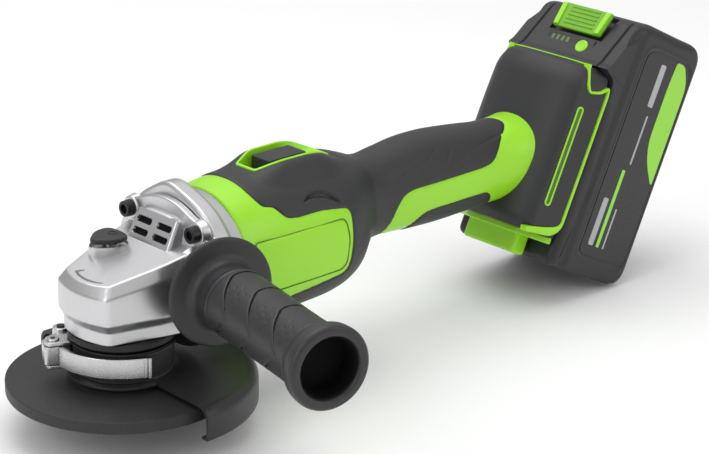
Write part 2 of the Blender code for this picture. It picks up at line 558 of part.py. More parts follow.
def build_battery():
    """Pack in two shells round twelve cells, with board, contacts, latch and gauge button."""
    back = pack_box("battery_case_rear", (PACK_SPLIT + GAP, -PACK_HALF, PACK_LOW),
                    (PACK_BACK, PACK_HALF, PACK_TOP), 7.0)
    back.modifiers["edges"].segments = 3
    boolean(back, box("rear_hollow", (PACK_SPLIT - 4, -PACK_HALF + 3, PACK_LOW + 3),
                      (PACK_BACK - 3, PACK_HALF - 3, PACK_TOP - 3), DARK, CUTTERS, FOOT))
    boolean(back, box("rear_mouth", (PACK_SPLIT - 20, -PACK_HALF - 5, PACK_LOW - 5),
                      (PACK_SPLIT + GAP + 6.8, PACK_HALF + 5, PACK_TOP + 5), DARK, CUTTERS, FOOT))
    rounding = ((0.0, 7.0), (0.94, 3.5), (3.5, 0.94), (7.0, 0.0))   # in from the side, drop
    stations = ([(-PACK_HALF + inward, drop) for inward, drop in rounding]
                + [(PACK_HALF - inward, drop) for inward, drop in rounding[::-1]])
    front = loft("battery_case_front", [
        [foot_point(n, y, l) for n, l in (
            (PACK_FRONT, PACK_LOW + drop), (PACK_FRONT, 231.0 - drop), (234.0 + 1.2 * drop, 232.5),
            (247.5 + 1.1 * drop, 262.0 - drop), (253.0 + 0.6 * drop, PACK_TOP - drop),
            (263.0, PACK_TOP - drop), (263.0, PACK_LOW + drop))]
        for y, drop in stations], DARK)
    rail = box("pack_rail", (226.0, -26.0, 165.0), (PACK_FRONT + 2, 26.0, 234.0), DARK, CUTTERS,
               FOOT)
    boolean(front, rail, "UNION")
    boolean(front, box("front_hollow", (PACK_FRONT + 4, -PACK_HALF + 3, PACK_LOW + 3),
                       (PACK_SPLIT + 12, PACK_HALF - 3, 246.5), DARK, CUTTERS, FOOT))
    boolean(front, box("contact_slot", (224.0, -18.0, 160.0), (236.0, 18.0, 200.0), DARK, CUTTERS,
                       FOOT))
    face = latch_frame()
    boolean(front, box("latch_recess", (-7.0, -18.4, 0.4), (8.0, 18.4, 15.6), GREEN, CUTTERS, face))
    latch = box("battery_latch", (-2.6, -17.9, 0.9), (3.4, 17.9, 15.1), GREEN, frame=face)
    boolean(latch, rod("latch_pocket", face @ Vector((-4.0, 0, 8.0)), face @ Vector((0.8, 0, 8.0)),
                       4.8, collection=CUTTERS, segments=16))
    rod("latch_spring", face @ Vector((-3.0, 0, 8.0)), face @ Vector((-6.6, 0, 8.0)), 4.0,
        STEEL, segments=12)
    hole0, hole1 = face @ Vector((-5.0, -10.0, -8.0)), face @ Vector((6.0, -10.0, -8.0))
    boolean(front, rod("gauge_hole", hole0, hole1, 4.3, collection=CUTTERS, segments=20))
    top, bottom = face @ Vector((1.8, -10.0, -8.0)), face @ Vector((-1.6, -10.0, -8.0))
    rod("gauge_button", bottom, top, 4.0, GREEN, segments=20)
    box("battery_gauge_board", (248.0, -24.0, 205.0), (249.6, 24.0, 238.0), BOARD, frame=FOOT)
    box("battery_contacts", (227.0, -14.0, 195.5), (235.5, 14.0, 199.5), COPPER, frame=FOOT)
    for row in range(2):
        for k in range(6):
            n = 268.5 + row * (CELL_PITCH + 0.2)
            l = PACK_LOW + 20.0 + k * CELL_PITCH
            rod(f"battery_cell_{row * 6 + k + 1}", foot_point(n, -CELL_LENGTH / 2, l),
                foot_point(n, CELL_LENGTH / 2, l), CELL_R, CELL, segments=14)


def build_terminals():
    """Terminal block in the foot that the pack's contacts meet."""
    box("terminal_block", (215.4, -16.0, 166.0), (223.0, 16.0, 205.0), DARK, frame=FOOT)


build_spindle()
build_head()
build_guard()
build_lock()
build_motor()
build_housing()
build_switch()
build_trims()
build_side_handle()
build_battery()
build_terminals()
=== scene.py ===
import math

import bmesh
import bpy
import numpy as np
from mathutils import Matrix, Vector


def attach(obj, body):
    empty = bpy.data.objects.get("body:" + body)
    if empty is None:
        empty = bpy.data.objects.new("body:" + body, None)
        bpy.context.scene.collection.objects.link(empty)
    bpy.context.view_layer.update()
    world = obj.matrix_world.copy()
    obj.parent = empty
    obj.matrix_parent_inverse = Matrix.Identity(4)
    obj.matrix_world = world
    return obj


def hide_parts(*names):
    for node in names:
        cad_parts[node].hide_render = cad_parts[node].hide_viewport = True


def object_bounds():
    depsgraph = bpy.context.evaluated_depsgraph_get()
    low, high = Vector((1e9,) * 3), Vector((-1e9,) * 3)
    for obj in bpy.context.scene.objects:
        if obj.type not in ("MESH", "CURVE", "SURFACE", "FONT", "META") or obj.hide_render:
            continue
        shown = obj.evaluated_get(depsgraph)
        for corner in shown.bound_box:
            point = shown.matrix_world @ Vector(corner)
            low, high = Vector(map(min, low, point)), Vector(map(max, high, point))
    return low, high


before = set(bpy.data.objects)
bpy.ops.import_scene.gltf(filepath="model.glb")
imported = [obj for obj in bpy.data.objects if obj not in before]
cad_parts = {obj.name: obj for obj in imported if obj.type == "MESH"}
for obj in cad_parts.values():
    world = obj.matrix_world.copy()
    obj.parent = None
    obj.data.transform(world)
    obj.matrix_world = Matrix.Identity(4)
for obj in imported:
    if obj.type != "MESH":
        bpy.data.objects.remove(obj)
cad_low, cad_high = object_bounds()


# ---- camera, floor and studio light ----
# A pale sweep of floor under the tool, a big soft light over it, a long strip on the camera's
# left and a weaker one on its right, so that the long edges of the castings catch a highlight.
camera = bpy.data.objects.new("camera", bpy.data.cameras.new("camera"))
camera.location = (-0.63492, -0.83258, 0.46736)
camera.rotation_euler = (1.2190, -0.0150, -0.7531)
camera.data.lens = 118.04
camera.data.sensor_width = 36.0
camera.data.clip_start = 0.05
bpy.context.scene.collection.objects.link(camera)
bpy.context.scene.camera = camera

floor_half, floor_z = 6.0, cad_low[2] - 0.0005
floor_mesh = bpy.data.meshes.new("floor")
floor_corners = [(x * floor_half, y * floor_half, floor_z)
                 for x, y in ((-1, -1), (1, -1), (1, 1), (-1, 1))]
floor_mesh.from_pydata(floor_corners, [], [(0, 1, 2, 3)])
floor_paint = bpy.data.materials.new("floor_paper")
floor_paint.use_nodes = True
floor_shader = floor_paint.node_tree.nodes["Principled BSDF"]
floor_shader.inputs["Base Color"].default_value = (0.97, 0.97, 0.97, 1.0)
floor_shader.inputs["Roughness"].default_value = 0.9
floor_shader.inputs["Specular IOR Level"].default_value = 0.1
floor_mesh.materials.append(floor_paint)
floor = bpy.data.objects.new("floor", floor_mesh)
bpy.context.scene.collection.objects.link(floor)

world = bpy.data.worlds.new("studio")
world.use_nodes = True
sky = world.node_tree.nodes["Background"]
sky.inputs["Strength"].default_value = 1.0
sky_where = world.node_tree.nodes.new("ShaderNodeTexCoord")
sky_split = world.node_tree.nodes.new("ShaderNodeSeparateXYZ")
sky_ramp = world.node_tree.nodes.new("ShaderNodeValToRGB")
sky_ramp.color_ramp.elements[0].position = 0.06
sky_ramp.color_ramp.elements[0].color = (0.34, 0.34, 0.34, 1.0)
sky_ramp.color_ramp.elements[1].position = 0.72
sky_ramp.color_ramp.elements[1].color = (0.82, 0.82, 0.82, 1.0)
world.node_tree.links.new(sky_where.outputs["Generated"], sky_split.inputs["Vector"])
world.node_tree.links.new(sky_split.outputs["Z"], sky_ramp.inputs["Fac"])
world.node_tree.links.new(sky_ramp.outputs["Color"], sky.inputs["Color"])
bpy.context.scene.world = world
bpy.context.scene.view_settings.view_transform = "Standard"

for label, place, aim, size, length, watts in (
        ("top_light", (0.10, 0.25, 1.2), (0.12, 0.0, 0.05), 0.9, 1.3, 6.5),
        ("left_light", (-1.05, -0.1, 0.55), (0.0, 0.0, 0.05), 0.3, 0.9, 2.6),
        ("right_light", (0.65, -1.1, 0.5), (0.2, 0.0, 0.06), 0.3, 0.7, 1.8)):
    lamp = bpy.data.lights.new(label, "AREA")
    lamp.shape = "RECTANGLE"
    lamp.size, lamp.size_y, lamp.energy = size, length, watts
    holder = bpy.data.objects.new(label, lamp)
    holder.location = place
    gaze = np.array(aim) - np.array(place)
    holder.rotation_mode = "QUATERNION"
    holder.rotation_quaternion = Vector(gaze).to_track_quat("-Z", "Y")
    bpy.context.scene.collection.objects.link(holder)


# ---- grinding wheel ----
# A pressed disc of dark grit on glass mesh, its hub sunk below the rim, held between the
# spindle's flange and a black steel lock nut.
def finish(name, colour, rough, metal=0.0, grain=1400.0, depth=0.12, spread=0.08, shade=0.12,
           stretch=(1.0, 1.0, 1.0), coat=0.0, specular=0.5):
    """A finish whose colour and roughness wander with two noises; its grain lifts the skin."""
    made = bpy.data.materials.new(name)
    made.use_nodes = True
    tree = made.node_tree
    shader = tree.nodes["Principled BSDF"]
    shader.inputs["Metallic"].default_value = metal
    shader.inputs["Coat Weight"].default_value = coat
    shader.inputs["Coat Roughness"].default_value = 0.25
    shader.inputs["Specular IOR Level"].default_value = specular
    where = tree.nodes.new("ShaderNodeTexCoord")
    turn = tree.nodes.new("ShaderNodeMapping")
    turn.inputs["Scale"].default_value = stretch
    fine = tree.nodes.new("ShaderNodeTexNoise")
    fine.inputs["Scale"].default_value = grain
    fine.inputs["Detail"].default_value = 3.0
    broad = tree.nodes.new("ShaderNodeTexNoise")
    broad.inputs["Scale"].default_value = 38.0
    broad.inputs["Detail"].default_value = 4.0
    tree.links.new(where.outputs["Object"], turn.inputs["Vector"])
    tree.links.new(turn.outputs["Vector"], fine.inputs["Vector"])
    tree.links.new(where.outputs["Object"], broad.inputs["Vector"])
    tint = tree.nodes.new("ShaderNodeMapRange")
    tint.inputs["To Min"].default_value = 1.0 - shade
    tint.inputs["To Max"].default_value = 1.0 + shade
    tree.links.new(broad.outputs["Fac"], tint.inputs["Value"])
    paint = tree.nodes.new("ShaderNodeMix")
    paint.data_type = "RGBA"
    paint.blend_type = "MULTIPLY"
    paint.inputs["Factor"].default_value = 1.0
    paint.inputs[6].default_value = (*colour, 1.0)
    tree.links.new(tint.outputs["Result"], paint.inputs[7])
    tree.links.new(paint.outputs[2], shader.inputs["Base Color"])
    polish = tree.nodes.new("ShaderNodeMapRange")
    polish.inputs["To Min"].default_value = max(rough - spread, 0.03)
    polish.inputs["To Max"].default_value = rough + spread
    tree.links.new(fine.outputs["Fac"], polish.inputs["Value"])
    tree.links.new(polish.outputs["Result"], shader.inputs["Roughness"])
    bump = tree.nodes.new("ShaderNodeBump")
    bump.inputs["Strength"].default_value = depth
    bump.inputs["Distance"].default_value = 0.0004
    tree.links.new(fine.outputs["Fac"], bump.inputs["Height"])
    tree.links.new(bump.outputs["Normal"], shader.inputs["Normal"])
    return made


def make_piece(name, points, faces, paint, body, nodes=(), sharp=34.0):
    """A mesh of points in millimetres and faces: doubles merged, faces out, fixed to a body."""
    mesh = bpy.data.meshes.new(name)
    mesh.from_pydata((np.asarray(points).reshape(-1, 3) * 0.001).tolist(), [], faces)
    work = bmesh.new()
    work.from_mesh(mesh)
    bmesh.ops.remove_doubles(work, verts=work.verts, dist=2e-6)
    bmesh.ops.recalc_face_normals(work, faces=work.faces)
    work.to_mesh(mesh)
    work.free()
    mesh.materials.append(paint)
    mesh.shade_smooth()
    mesh.set_sharp_from_angle(angle=math.radians(sharp))
    made = bpy.data.objects.new(name, mesh)
    bpy.context.scene.collection.objects.link(made)
    made.modifiers.new("flat_faces", "WEIGHTED_NORMAL").keep_sharp = True
    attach(made, body)
    if nodes:
        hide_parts(*nodes)
    return made


def rings_to_faces(rows, columns, closed_rows=False, caps=True):
    """Quads between rows of points that each close on themselves, with a cap on both ends."""
    i, j = np.meshgrid(np.arange(rows if closed_rows else rows - 1), np.arange(columns),
                       indexing="ij")
    i2, j2 = (i + 1) % rows, (j + 1) % columns
    quads = np.stack([i * columns + j, i * columns + j2, i2 * columns + j2, i2 * columns + j], -1)
    faces = quads.reshape(-1, 4).tolist()
    if caps and not closed_rows:
        faces.append(list(range(columns))[::-1])
        faces.append(list(range((rows - 1) * columns, rows * columns)))
    return faces


def ring_piece(name, rings, paint, body, nodes=(), sharp=34.0, closed_rows=False, caps=True):
    """A piece skinned over rows of points."""
    faces = rings_to_faces(*rings.shape[:2], closed_rows, caps)
    return make_piece(name, rings, faces, paint, body, nodes, sharp)


def repaint(paint, *nodes):
    """Give a finish to pieces that are shown as they come."""
    for node in nodes:
        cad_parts[node].data.materials.clear()
        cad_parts[node].data.materials.append(paint)


def rectangle(low_x, low_y, high_x, high_y):
    """Corners of a rectangle."""
    return [(low_x, low_y), (high_x, low_y), (high_x, high_y), (low_x, high_y)]


def soften(corners, radius, closed=True, steps=5):
    """Round a path's corners: each becomes a parabola from a point before it to one after it."""
    corners = np.asarray(corners, float)
    shape = (len(corners),) + (1,) * (corners.ndim - 1)
    radius = np.broadcast_to(np.asarray(radius, float).reshape(-1), len(corners)).reshape(shape)
    back = np.roll(corners, 1, 0) - corners
    ahead = np.roll(corners, -1, 0) - corners
    back_run = np.linalg.norm(back, axis=-1, keepdims=True) + 1e-9
    ahead_run = np.linalg.norm(ahead, axis=-1, keepdims=True) + 1e-9
    cut = np.minimum(radius, 0.48 * np.minimum(back_run, ahead_run))
    if not closed:
        cut = cut.copy()
        cut[0] = cut[-1] = 0.0
    start, end = corners + back / back_run * cut, corners + ahead / ahead_run * cut
    s = np.linspace(0.0, 1.0, steps).reshape((1, steps) + (1,) * (corners.ndim - 1))
    curve = ((1 - s) ** 2 * start[:, None] + 2 * s * (1 - s) * corners[:, None]
             + s ** 2 * end[:, None])
    if not closed:
        return np.concatenate([corners[:1], curve[1:-1].reshape((-1,) + corners.shape[1:]),
                               corners[-1:]])
    return curve.reshape((-1,) + corners.shape[1:])


def turned_rings(profile, centre=(0.0, 0.0, 0.0), axis="Z", steps=128, start=0.0, sweep=360.0):
    """Carry a (radius, height) outline round an axis: x = r cos t, y = r sin t, z = h."""
    profile = np.asarray(profile, float)
    t = np.radians(start + sweep * np.arange(steps) / (steps if sweep >= 360.0 else steps - 1))
    r, h = profile[None, :, 0], profile[None, :, 1]
    c, s = np.cos(t)[:, None], np.sin(t)[:, None]
    parts = {"Z": (r * c, r * s, h + 0 * c), "X": (h + 0 * c, r * c, r * s)}[axis]
    return np.stack(parts, -1) + np.asarray(centre, float)


def turned(name, profile, paint, body, nodes=(), radius=0.4, centre=(0, 0, 0), axis="Z",
           steps=128, start=0.0, sweep=360.0, sharp=34.0):
    """A piece turned from a closed outline, whole or by part of a turn with flat ends."""
    rings = turned_rings(soften(profile, radius, steps=4), centre, axis, steps, start, sweep)
    return ring_piece(name, rings, paint, body, nodes, sharp, closed_rows=sweep >= 360.0)


grit = finish("abrasive_grit", (0.028, 0.028, 0.030), 0.50, grain=900.0, depth=0.55, shade=0.2,
               specular=0.35)
black_steel = finish("black_oxide_steel", (0.022, 0.022, 0.024), 0.34, metal=0.55, grain=1100.0,
                     depth=0.06)
steel = finish("ground_steel", (0.55, 0.55, 0.56), 0.28, metal=1.0, grain=700.0, depth=0.05)
turned("wheel", [(11.1, 10.2), (18.5, 10.2), (26.0, 7.0), (57.3, 7.0), (57.3, 1.0), (28.5, 1.0),
                 (20.0, 4.2), (11.1, 4.2)], grit, "spindle_group",
       ["grinding_disc"], radius=0.6, steps=192)
turned("wheel_nut", [(7.1, 3.9), (16.5, 3.9), (16.5, 0.6), (15.6, 0.0), (7.1, 0.0)], black_steel,
       "spindle_group", ["lock_nut"], radius=0.3)
turned("wheel_flange", [(7.1, 13.8), (16.0, 13.8), (16.0, 10.5), (7.1, 10.5)], steel,
       "spindle_group", ["inner_flange"], radius=0.4, steps=96)
repaint(steel, "spindle", "drive_gear", "rotor_shaft", "rotor_core", "pinion",
        "spindle_bearing_lower", "spindle_bearing_upper", "rotor_bearing_front",
        "rotor_bearing_rear", "lock_pin", "lock_spring", "latch_spring", "switch_rod",
        "side_handle_stud")


# ---- guard ----
# Half-round cover pressed from 1.6 mm steel and powder coated near black: a flat web, a rolled
# shoulder, a skirt and a lip turned in under the wheel, on a collar that the band clamps.
coated_steel = finish("powder_coat", (0.022, 0.022, 0.024), 0.42, grain=1500.0, depth=0.10,
                      shade=0.08, coat=0.08, specular=0.4)
turned("guard_shell", [(22.7, 9.5), (61.3, 9.5), (64.7, 6.1), (64.7, -4.6), (61.3, -4.6),
                       (61.3, -6.0), (65.6, -6.0), (66.3, -5.2), (66.3, 7.6), (62.8, 11.1),
                       (27.5, 11.1), (24.2, 12.4), (24.2, 14.6), (22.7, 14.6)],
       coated_steel, "guard", ["wheel_guard"],
       radius=[0.2, 3.2, 3.2, 0.6, 0.3, 0.3, 0.5, 0.5, 3.2, 3.2, 1.6, 0.8, 0.3, 0.2],
       start=-91.0, sweep=182.0, steps=110)
turned("guard_root_ring", [(22.7, 9.7), (27.3, 9.7), (27.3, 10.9), (24.0, 12.4), (24.0, 14.4),
                           (22.7, 14.4)], coated_steel, "guard", radius=0.3)


# ---- clamp band, lugs and quick-release lever ----
# A blackened band wraps the guard's collar. Two bright lugs carry the pin of a pressed steel
# lever that draws the band tight and lies round the front of the neck.
brushed = finish("brushed_steel", (0.60, 0.60, 0.61), 0.27, metal=1.0, grain=2300.0, depth=0.05,
                 spread=0.04)
pivot_x, pivot_y = -30.2, 15.3
lug_turn = math.atan2(pivot_y, pivot_x)
turned("clamp_band", [(22.7, 14.9), (25.3, 14.9), (25.3, 27.6), (22.7, 27.6)], coated_steel,
       "guard", ["guard_clamp_band"], radius=0.5, steps=120,
       start=math.degrees(lug_turn) + 9.0, sweep=342.0)
turned("band_bead", [(25.0, 24.9), (26.0, 25.1), (26.0, 26.9), (25.0, 27.1)], coated_steel,
       "guard", radius=0.4, steps=90, start=math.degrees(lug_turn) + 96.0,
       sweep=215.0)


def slab_rings(outline, low, high, edge=0.5, steps=4):
    """Carry an outline up from low to high; near each end it draws in on a quarter circle."""
    outline = np.asarray(outline, float)
    tangent = np.roll(outline, -1, 0) - np.roll(outline, 1, 0)
    inward = np.stack([-tangent[:, 1], tangent[:, 0]], 1)
    inward /= np.linalg.norm(inward, axis=1, keepdims=True) + 1e-9
    turn = np.sum(outline * np.roll(outline, -1, 0)[:, ::-1] * (1, -1))
    inward *= math.copysign(1.0, turn)
    a = np.linspace(0.0, math.pi / 2, steps)
    draw = np.concatenate([edge * (1 - np.sin(a)), edge * (1 - np.sin(a))[::-1]])
    height = np.concatenate([low + edge * (1 - np.cos(a)), high - edge * (1 - np.cos(a))[::-1]])
    flat = outline[None] + inward[None] * draw[:, None, None]
    return np.concatenate([flat, np.broadcast_to(height[:, None, None], flat.shape[:2] + (1,))],
                          -1)


def placed(points, matrix):
    """Points moved by a 4 x 4 matrix."""
    matrix = np.array(matrix)
    return np.asarray(points) @ matrix[:3, :3].T + matrix[:3, 3]


def slab(name, outline, low, high, paint, body, nodes=(), edge=0.5, at=Matrix.Identity(4),
         radius=1.0, steps=5, sharp=34.0):
    """A plate or block of one outline with softened corners and edges, in its own frame."""
    rings = placed(slab_rings(soften(outline, radius, steps=steps), low, high, edge), at)
    return ring_piece(name, rings, paint, body, nodes, sharp)


lug_frame = Matrix.Rotation(lug_turn, 4, "Z")
reach = math.hypot(pivot_x, pivot_y)
lug_outline = [(24.4, -10.6), (reach - 3.0, -8.4), (reach + 3.4, -4.2), (reach + 4.4, 0.0),
               (reach + 3.2, 4.3), (24.4, 4.4)]
slab("clamp_lug_lower", lug_outline, 14.8, 16.6, brushed, "guard", edge=0.35,
     at=lug_frame, radius=2.5)
slab("clamp_lug_upper", lug_outline, 26.5, 28.6, brushed, "guard", edge=0.4,
     at=lug_frame, radius=2.5)
second_x, second_y = -19.5, 23.4
turned("band_screw_lug", [(0.01, 30.2), (4.0, 30.2), (4.3, 22.0), (0.01, 22.0)], brushed,
       "guard", radius=0.6, centre=(second_x, second_y, 0.0), steps=40)
turned("band_screw", [(0.01, 30.9), (2.0, 30.9), (2.0, 29.4), (0.01, 29.4)], black_steel,
       "guard", radius=0.25, centre=(second_x, second_y, 0.0), steps=32)
turned("lever_pin", [(0.01, 29.6), (2.9, 29.6), (3.2, 28.9), (3.2, 28.6), (2.0, 28.6),
                     (2.0, 14.6), (0.01, 14.6)], steel, "guard", ["clamp_pivot_pin"],
       radius=0.3, centre=(pivot_x, pivot_y, 0.0), steps=40)
turned("lever_pin_socket", [(0.01, 29.75), (1.2, 29.75), (1.2, 29.2), (0.01, 29.2)], black_steel,
       "guard", radius=0.1, centre=(pivot_x, pivot_y, 0.0), steps=24)

lever_x, lever_y, lever_r = 5.45, 5.85, 36.7
lever_from, lever_sweep = 175.0, 77.5
lever_profile = [(lever_r - 2.2, 16.5), (lever_r, 16.5), (lever_r, 26.5), (lever_r - 2.2, 26.5)]
turned("lever", lever_profile, brushed, "lever", ["clamp_lever"], radius=0.4,
       centre=(lever_x, lever_y, 0.0), steps=90, start=lever_from, sweep=lever_sweep)
lever_eye = Matrix.Translation((pivot_x, pivot_y, 0.0)) @ Matrix.Rotation(lug_turn, 4, "Z")
slab("lever_knuckle", [(-3.6, -7.2), (4.6, -7.4), (4.8, 4.2), (-3.8, 4.4)], 16.9, 26.2, brushed,
     "lever", edge=0.5, at=lever_eye, radius=2.0)
for number, (degrees, out) in enumerate(((73.6, 0.35), (76.6, 1.1))):
    tab = (Matrix.Translation((lever_x, lever_y, 0.0))
           @ Matrix.Rotation(math.radians(lever_from + degrees), 4, "Z"))
    slab(f"lever_tab_{number}", rectangle(lever_r - 2.0, -0.9, lever_r + out, 0.9), 16.4, 26.6,
         brushed, "lever", edge=0.3, at=tab, radius=0.5)


# ---- gear head ----
# Die-cast aluminium, bead blasted and left bright. A bowed nose with a sloping top facet, a band
# set in under a groove, and behind them a vented hump that the cooling air leaves by.
cast = finish("bead_blasted_aluminium", (0.62, 0.62, 0.63), 0.33, metal=1.0, grain=2300.0,
              depth=0.16, shade=0.05, spread=0.07)
motor_z, flange_x = 55.0, 31.0


def head_outline(inset, front):
    """Plan of the head: nose x = front + bow (y / half)^2, sides that widen to the back."""
    half_front, half_back, bow = 19.8 - inset, 31.0 - inset, 4.0
    y = np.linspace(-half_front, half_front, 9)
    nose = np.stack([front + bow * (y / half_front) ** 2, y], 1)
    back = [(7.0, 27.5 - inset), (flange_x - 0.5, half_back), (flange_x - 0.5, -half_back),
            (7.0, -27.5 + inset)]
    corners = np.vstack([nose, back])
    radii = [2.2] + [1.0] * 7 + [2.2, 5.0, 1.0, 1.0, 5.0]
    return soften(corners, radii, steps=5)


def head_level(inset, front, height, slope=0.0):
    """One outline lifted to z = height + slope (x - front)."""
    flat = head_outline(inset, front)
    return np.column_stack([flat, height + slope * (flat[:, 0] - front)])


head_levels = np.stack([
    head_level(3.2, -24.4, 32.7), head_level(1.8, -25.8, 32.7), head_level(1.8, -25.8, 39.6),
    head_level(0.0, -27.6, 43.6), head_level(0.0, -27.6, 56.7, 0.16),
    head_level(3.0, -24.4, 61.7, 0.233), head_level(5.5, -21.9, 62.28, 0.233)])
head_rings = soften(head_levels, [0, 0.9, 1.0, 1.0, 1.2, 0.9, 0], closed=False, steps=6)
ring_piece("gear_head", head_rings, cast, "housing", ["gear_case"], sharp=50.0)

handle_yaw = math.radians(12.5)
handle_at = np.array([23.4, -45.4, 58.2])
handle_out = np.array([-math.sin(handle_yaw), -math.cos(handle_yaw), 0.0])


def along(axis, at):
    """A frame with its Z along an axis."""
    turn = Vector(axis).to_track_quat("Z", "Y").to_matrix().to_4x4()
    return Matrix.Translation(Vector(at)) @ turn


boss_frame = along(handle_out, handle_at)
boss = placed(turned_rings(soften([(0.01, -1.2), (12.2, -1.2), (13.6, -9.0), (16.5, -22.0),
                                   (0.01, -22.0)], 1.2), steps=72), boss_frame)
ring_piece("handle_boss", boss, cast, "housing", closed_rows=True)

circle = np.radians(np.arange(0.0, 360.0, 2.5))
lobes = sum(3.0 * np.exp(-(((np.degrees(circle) - at + 180.0) % 360.0 - 180.0) / 9.0) ** 2)
            for at in (46.0, 134.0, 226.0, 314.0))
flange_out = np.stack([-(37.4 + lobes) * np.sin(circle), (37.4 + lobes) * np.cos(circle)], 1)
to_x = Matrix(((0, 0, 1, 0), (0, 1, 0, 0), (-1, 0, 0, motor_z), (0, 0, 0, 1)))
slab("head_flange", flange_out, 26.5, flange_x, cast, "housing", edge=1.0,
     at=to_x, radius=0.1, steps=2)
turned("head_skirt", [(0.01, 31.0), (36.0, 31.0), (35.0, 28.8), (30.5, 26.6), (18.0, 22.5),
                      (0.01, 22.0)], cast, "housing", radius=1.6,
       centre=(0, 0, motor_z), axis="X", steps=120)

# The hump: its sloping front face has four slots cut right into it.
hump_rows, hump_columns = 84, 130
across, up = np.meshgrid(np.linspace(-1.0, 1.0, hump_columns), np.linspace(0.0, 1.0, hump_rows),
                         indexing="xy")
hump_half = 16.6 - 1.2 * up
hump_face = np.stack([15.4 + 7.8 * up, hump_half * across, 70.2 + 14.6 * up], -1)
face_in = np.array([0.882, 0.0, -0.471])
slot_y = np.abs(np.abs(hump_face[..., 1]) - 7.5)
slot_v = np.minimum(np.abs(up - 0.32), np.abs(up - 0.68)) * 16.6
corner = np.hypot(np.maximum(slot_y - 4.3, 0.0), np.maximum(slot_v - 0.5, 0.0))
slot_in = np.clip((1.15 - corner) / 0.3, 0.0, 1.0)
hump_face = hump_face + face_in * (2.6 * slot_in[..., None])
edge_round = 1.6 * (np.clip((np.abs(across) - 0.88) / 0.12, 0, 1) ** 2)[..., None] * face_in
hump_face = hump_face + edge_round
back_x = 30.8
top_row = hump_face[-1] + (1.2, 0.0, 0.6)
roof = np.stack([top_row + (np.array([back_x, 0, 0]) - top_row * (1, 0, 0)) * k
                 + np.array([0, 0, 1.4]) * k for k in (0.0, 0.35, 0.7, 1.0)])
roof[..., 2] -= 2.6 * np.abs(across[0]) ** 4
floor_row = hump_face[0] + (0.0, 0.0, -5.0)
under = np.stack([floor_row * (0, 1, 1) + (back_x, 0, 0), floor_row])
hump = np.concatenate([under, hump_face, roof])
rows, columns = hump.shape[:2]
i, j = np.meshgrid(np.arange(rows), np.arange(columns - 1), indexing="ij")
i2 = (i + 1) % rows
hump_quads = np.stack([i * columns + j, i * columns + j + 1, i2 * columns + j + 1,
                       i2 * columns + j], -1).reshape(-1, 4).tolist()
hump_quads += [[r * columns for r in range(rows)],
               [r * columns + columns - 1 for r in range(rows)][::-1]]
make_piece("vent_hump", hump, hump_quads, cast, "housing", sharp=48.0)
# Near-black, dull paint used as painted shade: sheets in the vent slots, discs in the screw
# sockets, lines in the grip's grooves and the lining of its hollow end.
painted_shade_black = finish("painted_shade_matte", (0.006, 0.006, 0.007), 0.8, depth=0.05, specular=0.1)
# Each slot holds a near-black sheet, painted shade for the dark inside the vent.
for number, (slot_side, slot_up) in enumerate(((-7.5, 0.32), (7.5, 0.32), (-7.5, 0.68),
                                               (7.5, 0.68))):
    middle = np.array([15.4 + 7.8 * slot_up, slot_side, 70.2 + 14.6 * slot_up]) + face_in * 1.3
    slot_frame = along(face_in, middle)
    slab(f"vent_painted_shade_{number}", rectangle(-5.3, -1.5, 5.3, 1.5), 0.0, 0.9, painted_shade_black, "housing",
         edge=0.2, at=slot_frame, radius=0.8)
for name, side, node in (("left", 1.0, "case_screw_left"), ("right", -1.0, "case_screw_right")):
    for level, height in (("upper", 80.5), ("lower", 30.5)):
        y = side * (25.2 if level == "upper" else 24.0)
        head_x = 21.6 if level == "upper" else 24.6
        turned(f"case_screw_{level}_{name}", [(2.3, head_x + 2.4), (2.3, head_x), (4.0, head_x),
                                              (4.3, head_x + 5.0), (2.3, head_x + 5.0)],
               black_steel, "housing", [node] if level == "upper" else (),
               radius=0.4, centre=(0.0, y, height), axis="X", steps=36)
        # A near-black disc in each screw's socket is painted shade.
        turned(f"screw_well_{level}_{name}", [(0.01, head_x + 1.8), (2.6, head_x + 1.8),
                                              (2.6, head_x + 4.0), (0.01, head_x + 4.0)],
               painted_shade_black, "housing", radius=0.1, centre=(0.0, y, height), axis="X",
               steps=24)
        turned(f"screw_boss_{level}_{name}", [(0.01, head_x + 4.2), (5.6, head_x + 4.2),
                                              (6.6, flange_x - 0.5), (0.01, flange_x - 0.5)],
               cast, "housing", radius=0.8, centre=(0.0, y, height), axis="X",
               steps=48)


# ---- turning arrow ----
# A plain curved arrow cast proud of the facet shows which way the wheel turns.
def tube(name, path, thick, paint, body, nodes=(), sides=10, sharp=40.0):
    """Carry a circle along a path: point = path + r (side cos t + up sin t)."""
    path = np.asarray(path, float)
    tangent = np.gradient(path, axis=0)
    tangent /= np.linalg.norm(tangent, axis=1, keepdims=True)
    side = np.cross(tangent, (0.03, 0.02, 1.0))
    side /= np.linalg.norm(side, axis=1, keepdims=True)
    up = np.cross(side, tangent)
    t = np.linspace(0.0, 2 * math.pi, sides, endpoint=False)[None, :, None]
    thick = np.broadcast_to(np.asarray(thick, float), len(path))[:, None, None]
    rings = path[:, None] + thick * (side[:, None] * np.cos(t) + up[:, None] * np.sin(t))
    return ring_piece(name, rings, paint, body, nodes, sharp)


arrow_metal = finish("dark_cast_mark", (0.30, 0.30, 0.31), 0.42, metal=1.0, grain=2300.0)
arrow_t = np.linspace(0.0, 1.0, 24)
arrow_y = 9.6 - 21.0 * arrow_t
arrow_x = -21.6 + 2.2 * (2 * arrow_t - 1) ** 2
arrow_z = 61.7 + 0.233 * (arrow_x + 24.4) + 0.05
tube("arrow_stroke", np.stack([arrow_x, arrow_y, arrow_z], 1), 0.55 * (1 - 0.6 * arrow_t ** 3),
     arrow_metal, "housing")
tube("arrow_barb", [(-16.6, 6.6, 63.57), (-17.8, 8.1, 63.29), (-19.6, 9.7, 62.87)],
     [0.25, 0.45, 0.55], arrow_metal, "housing")


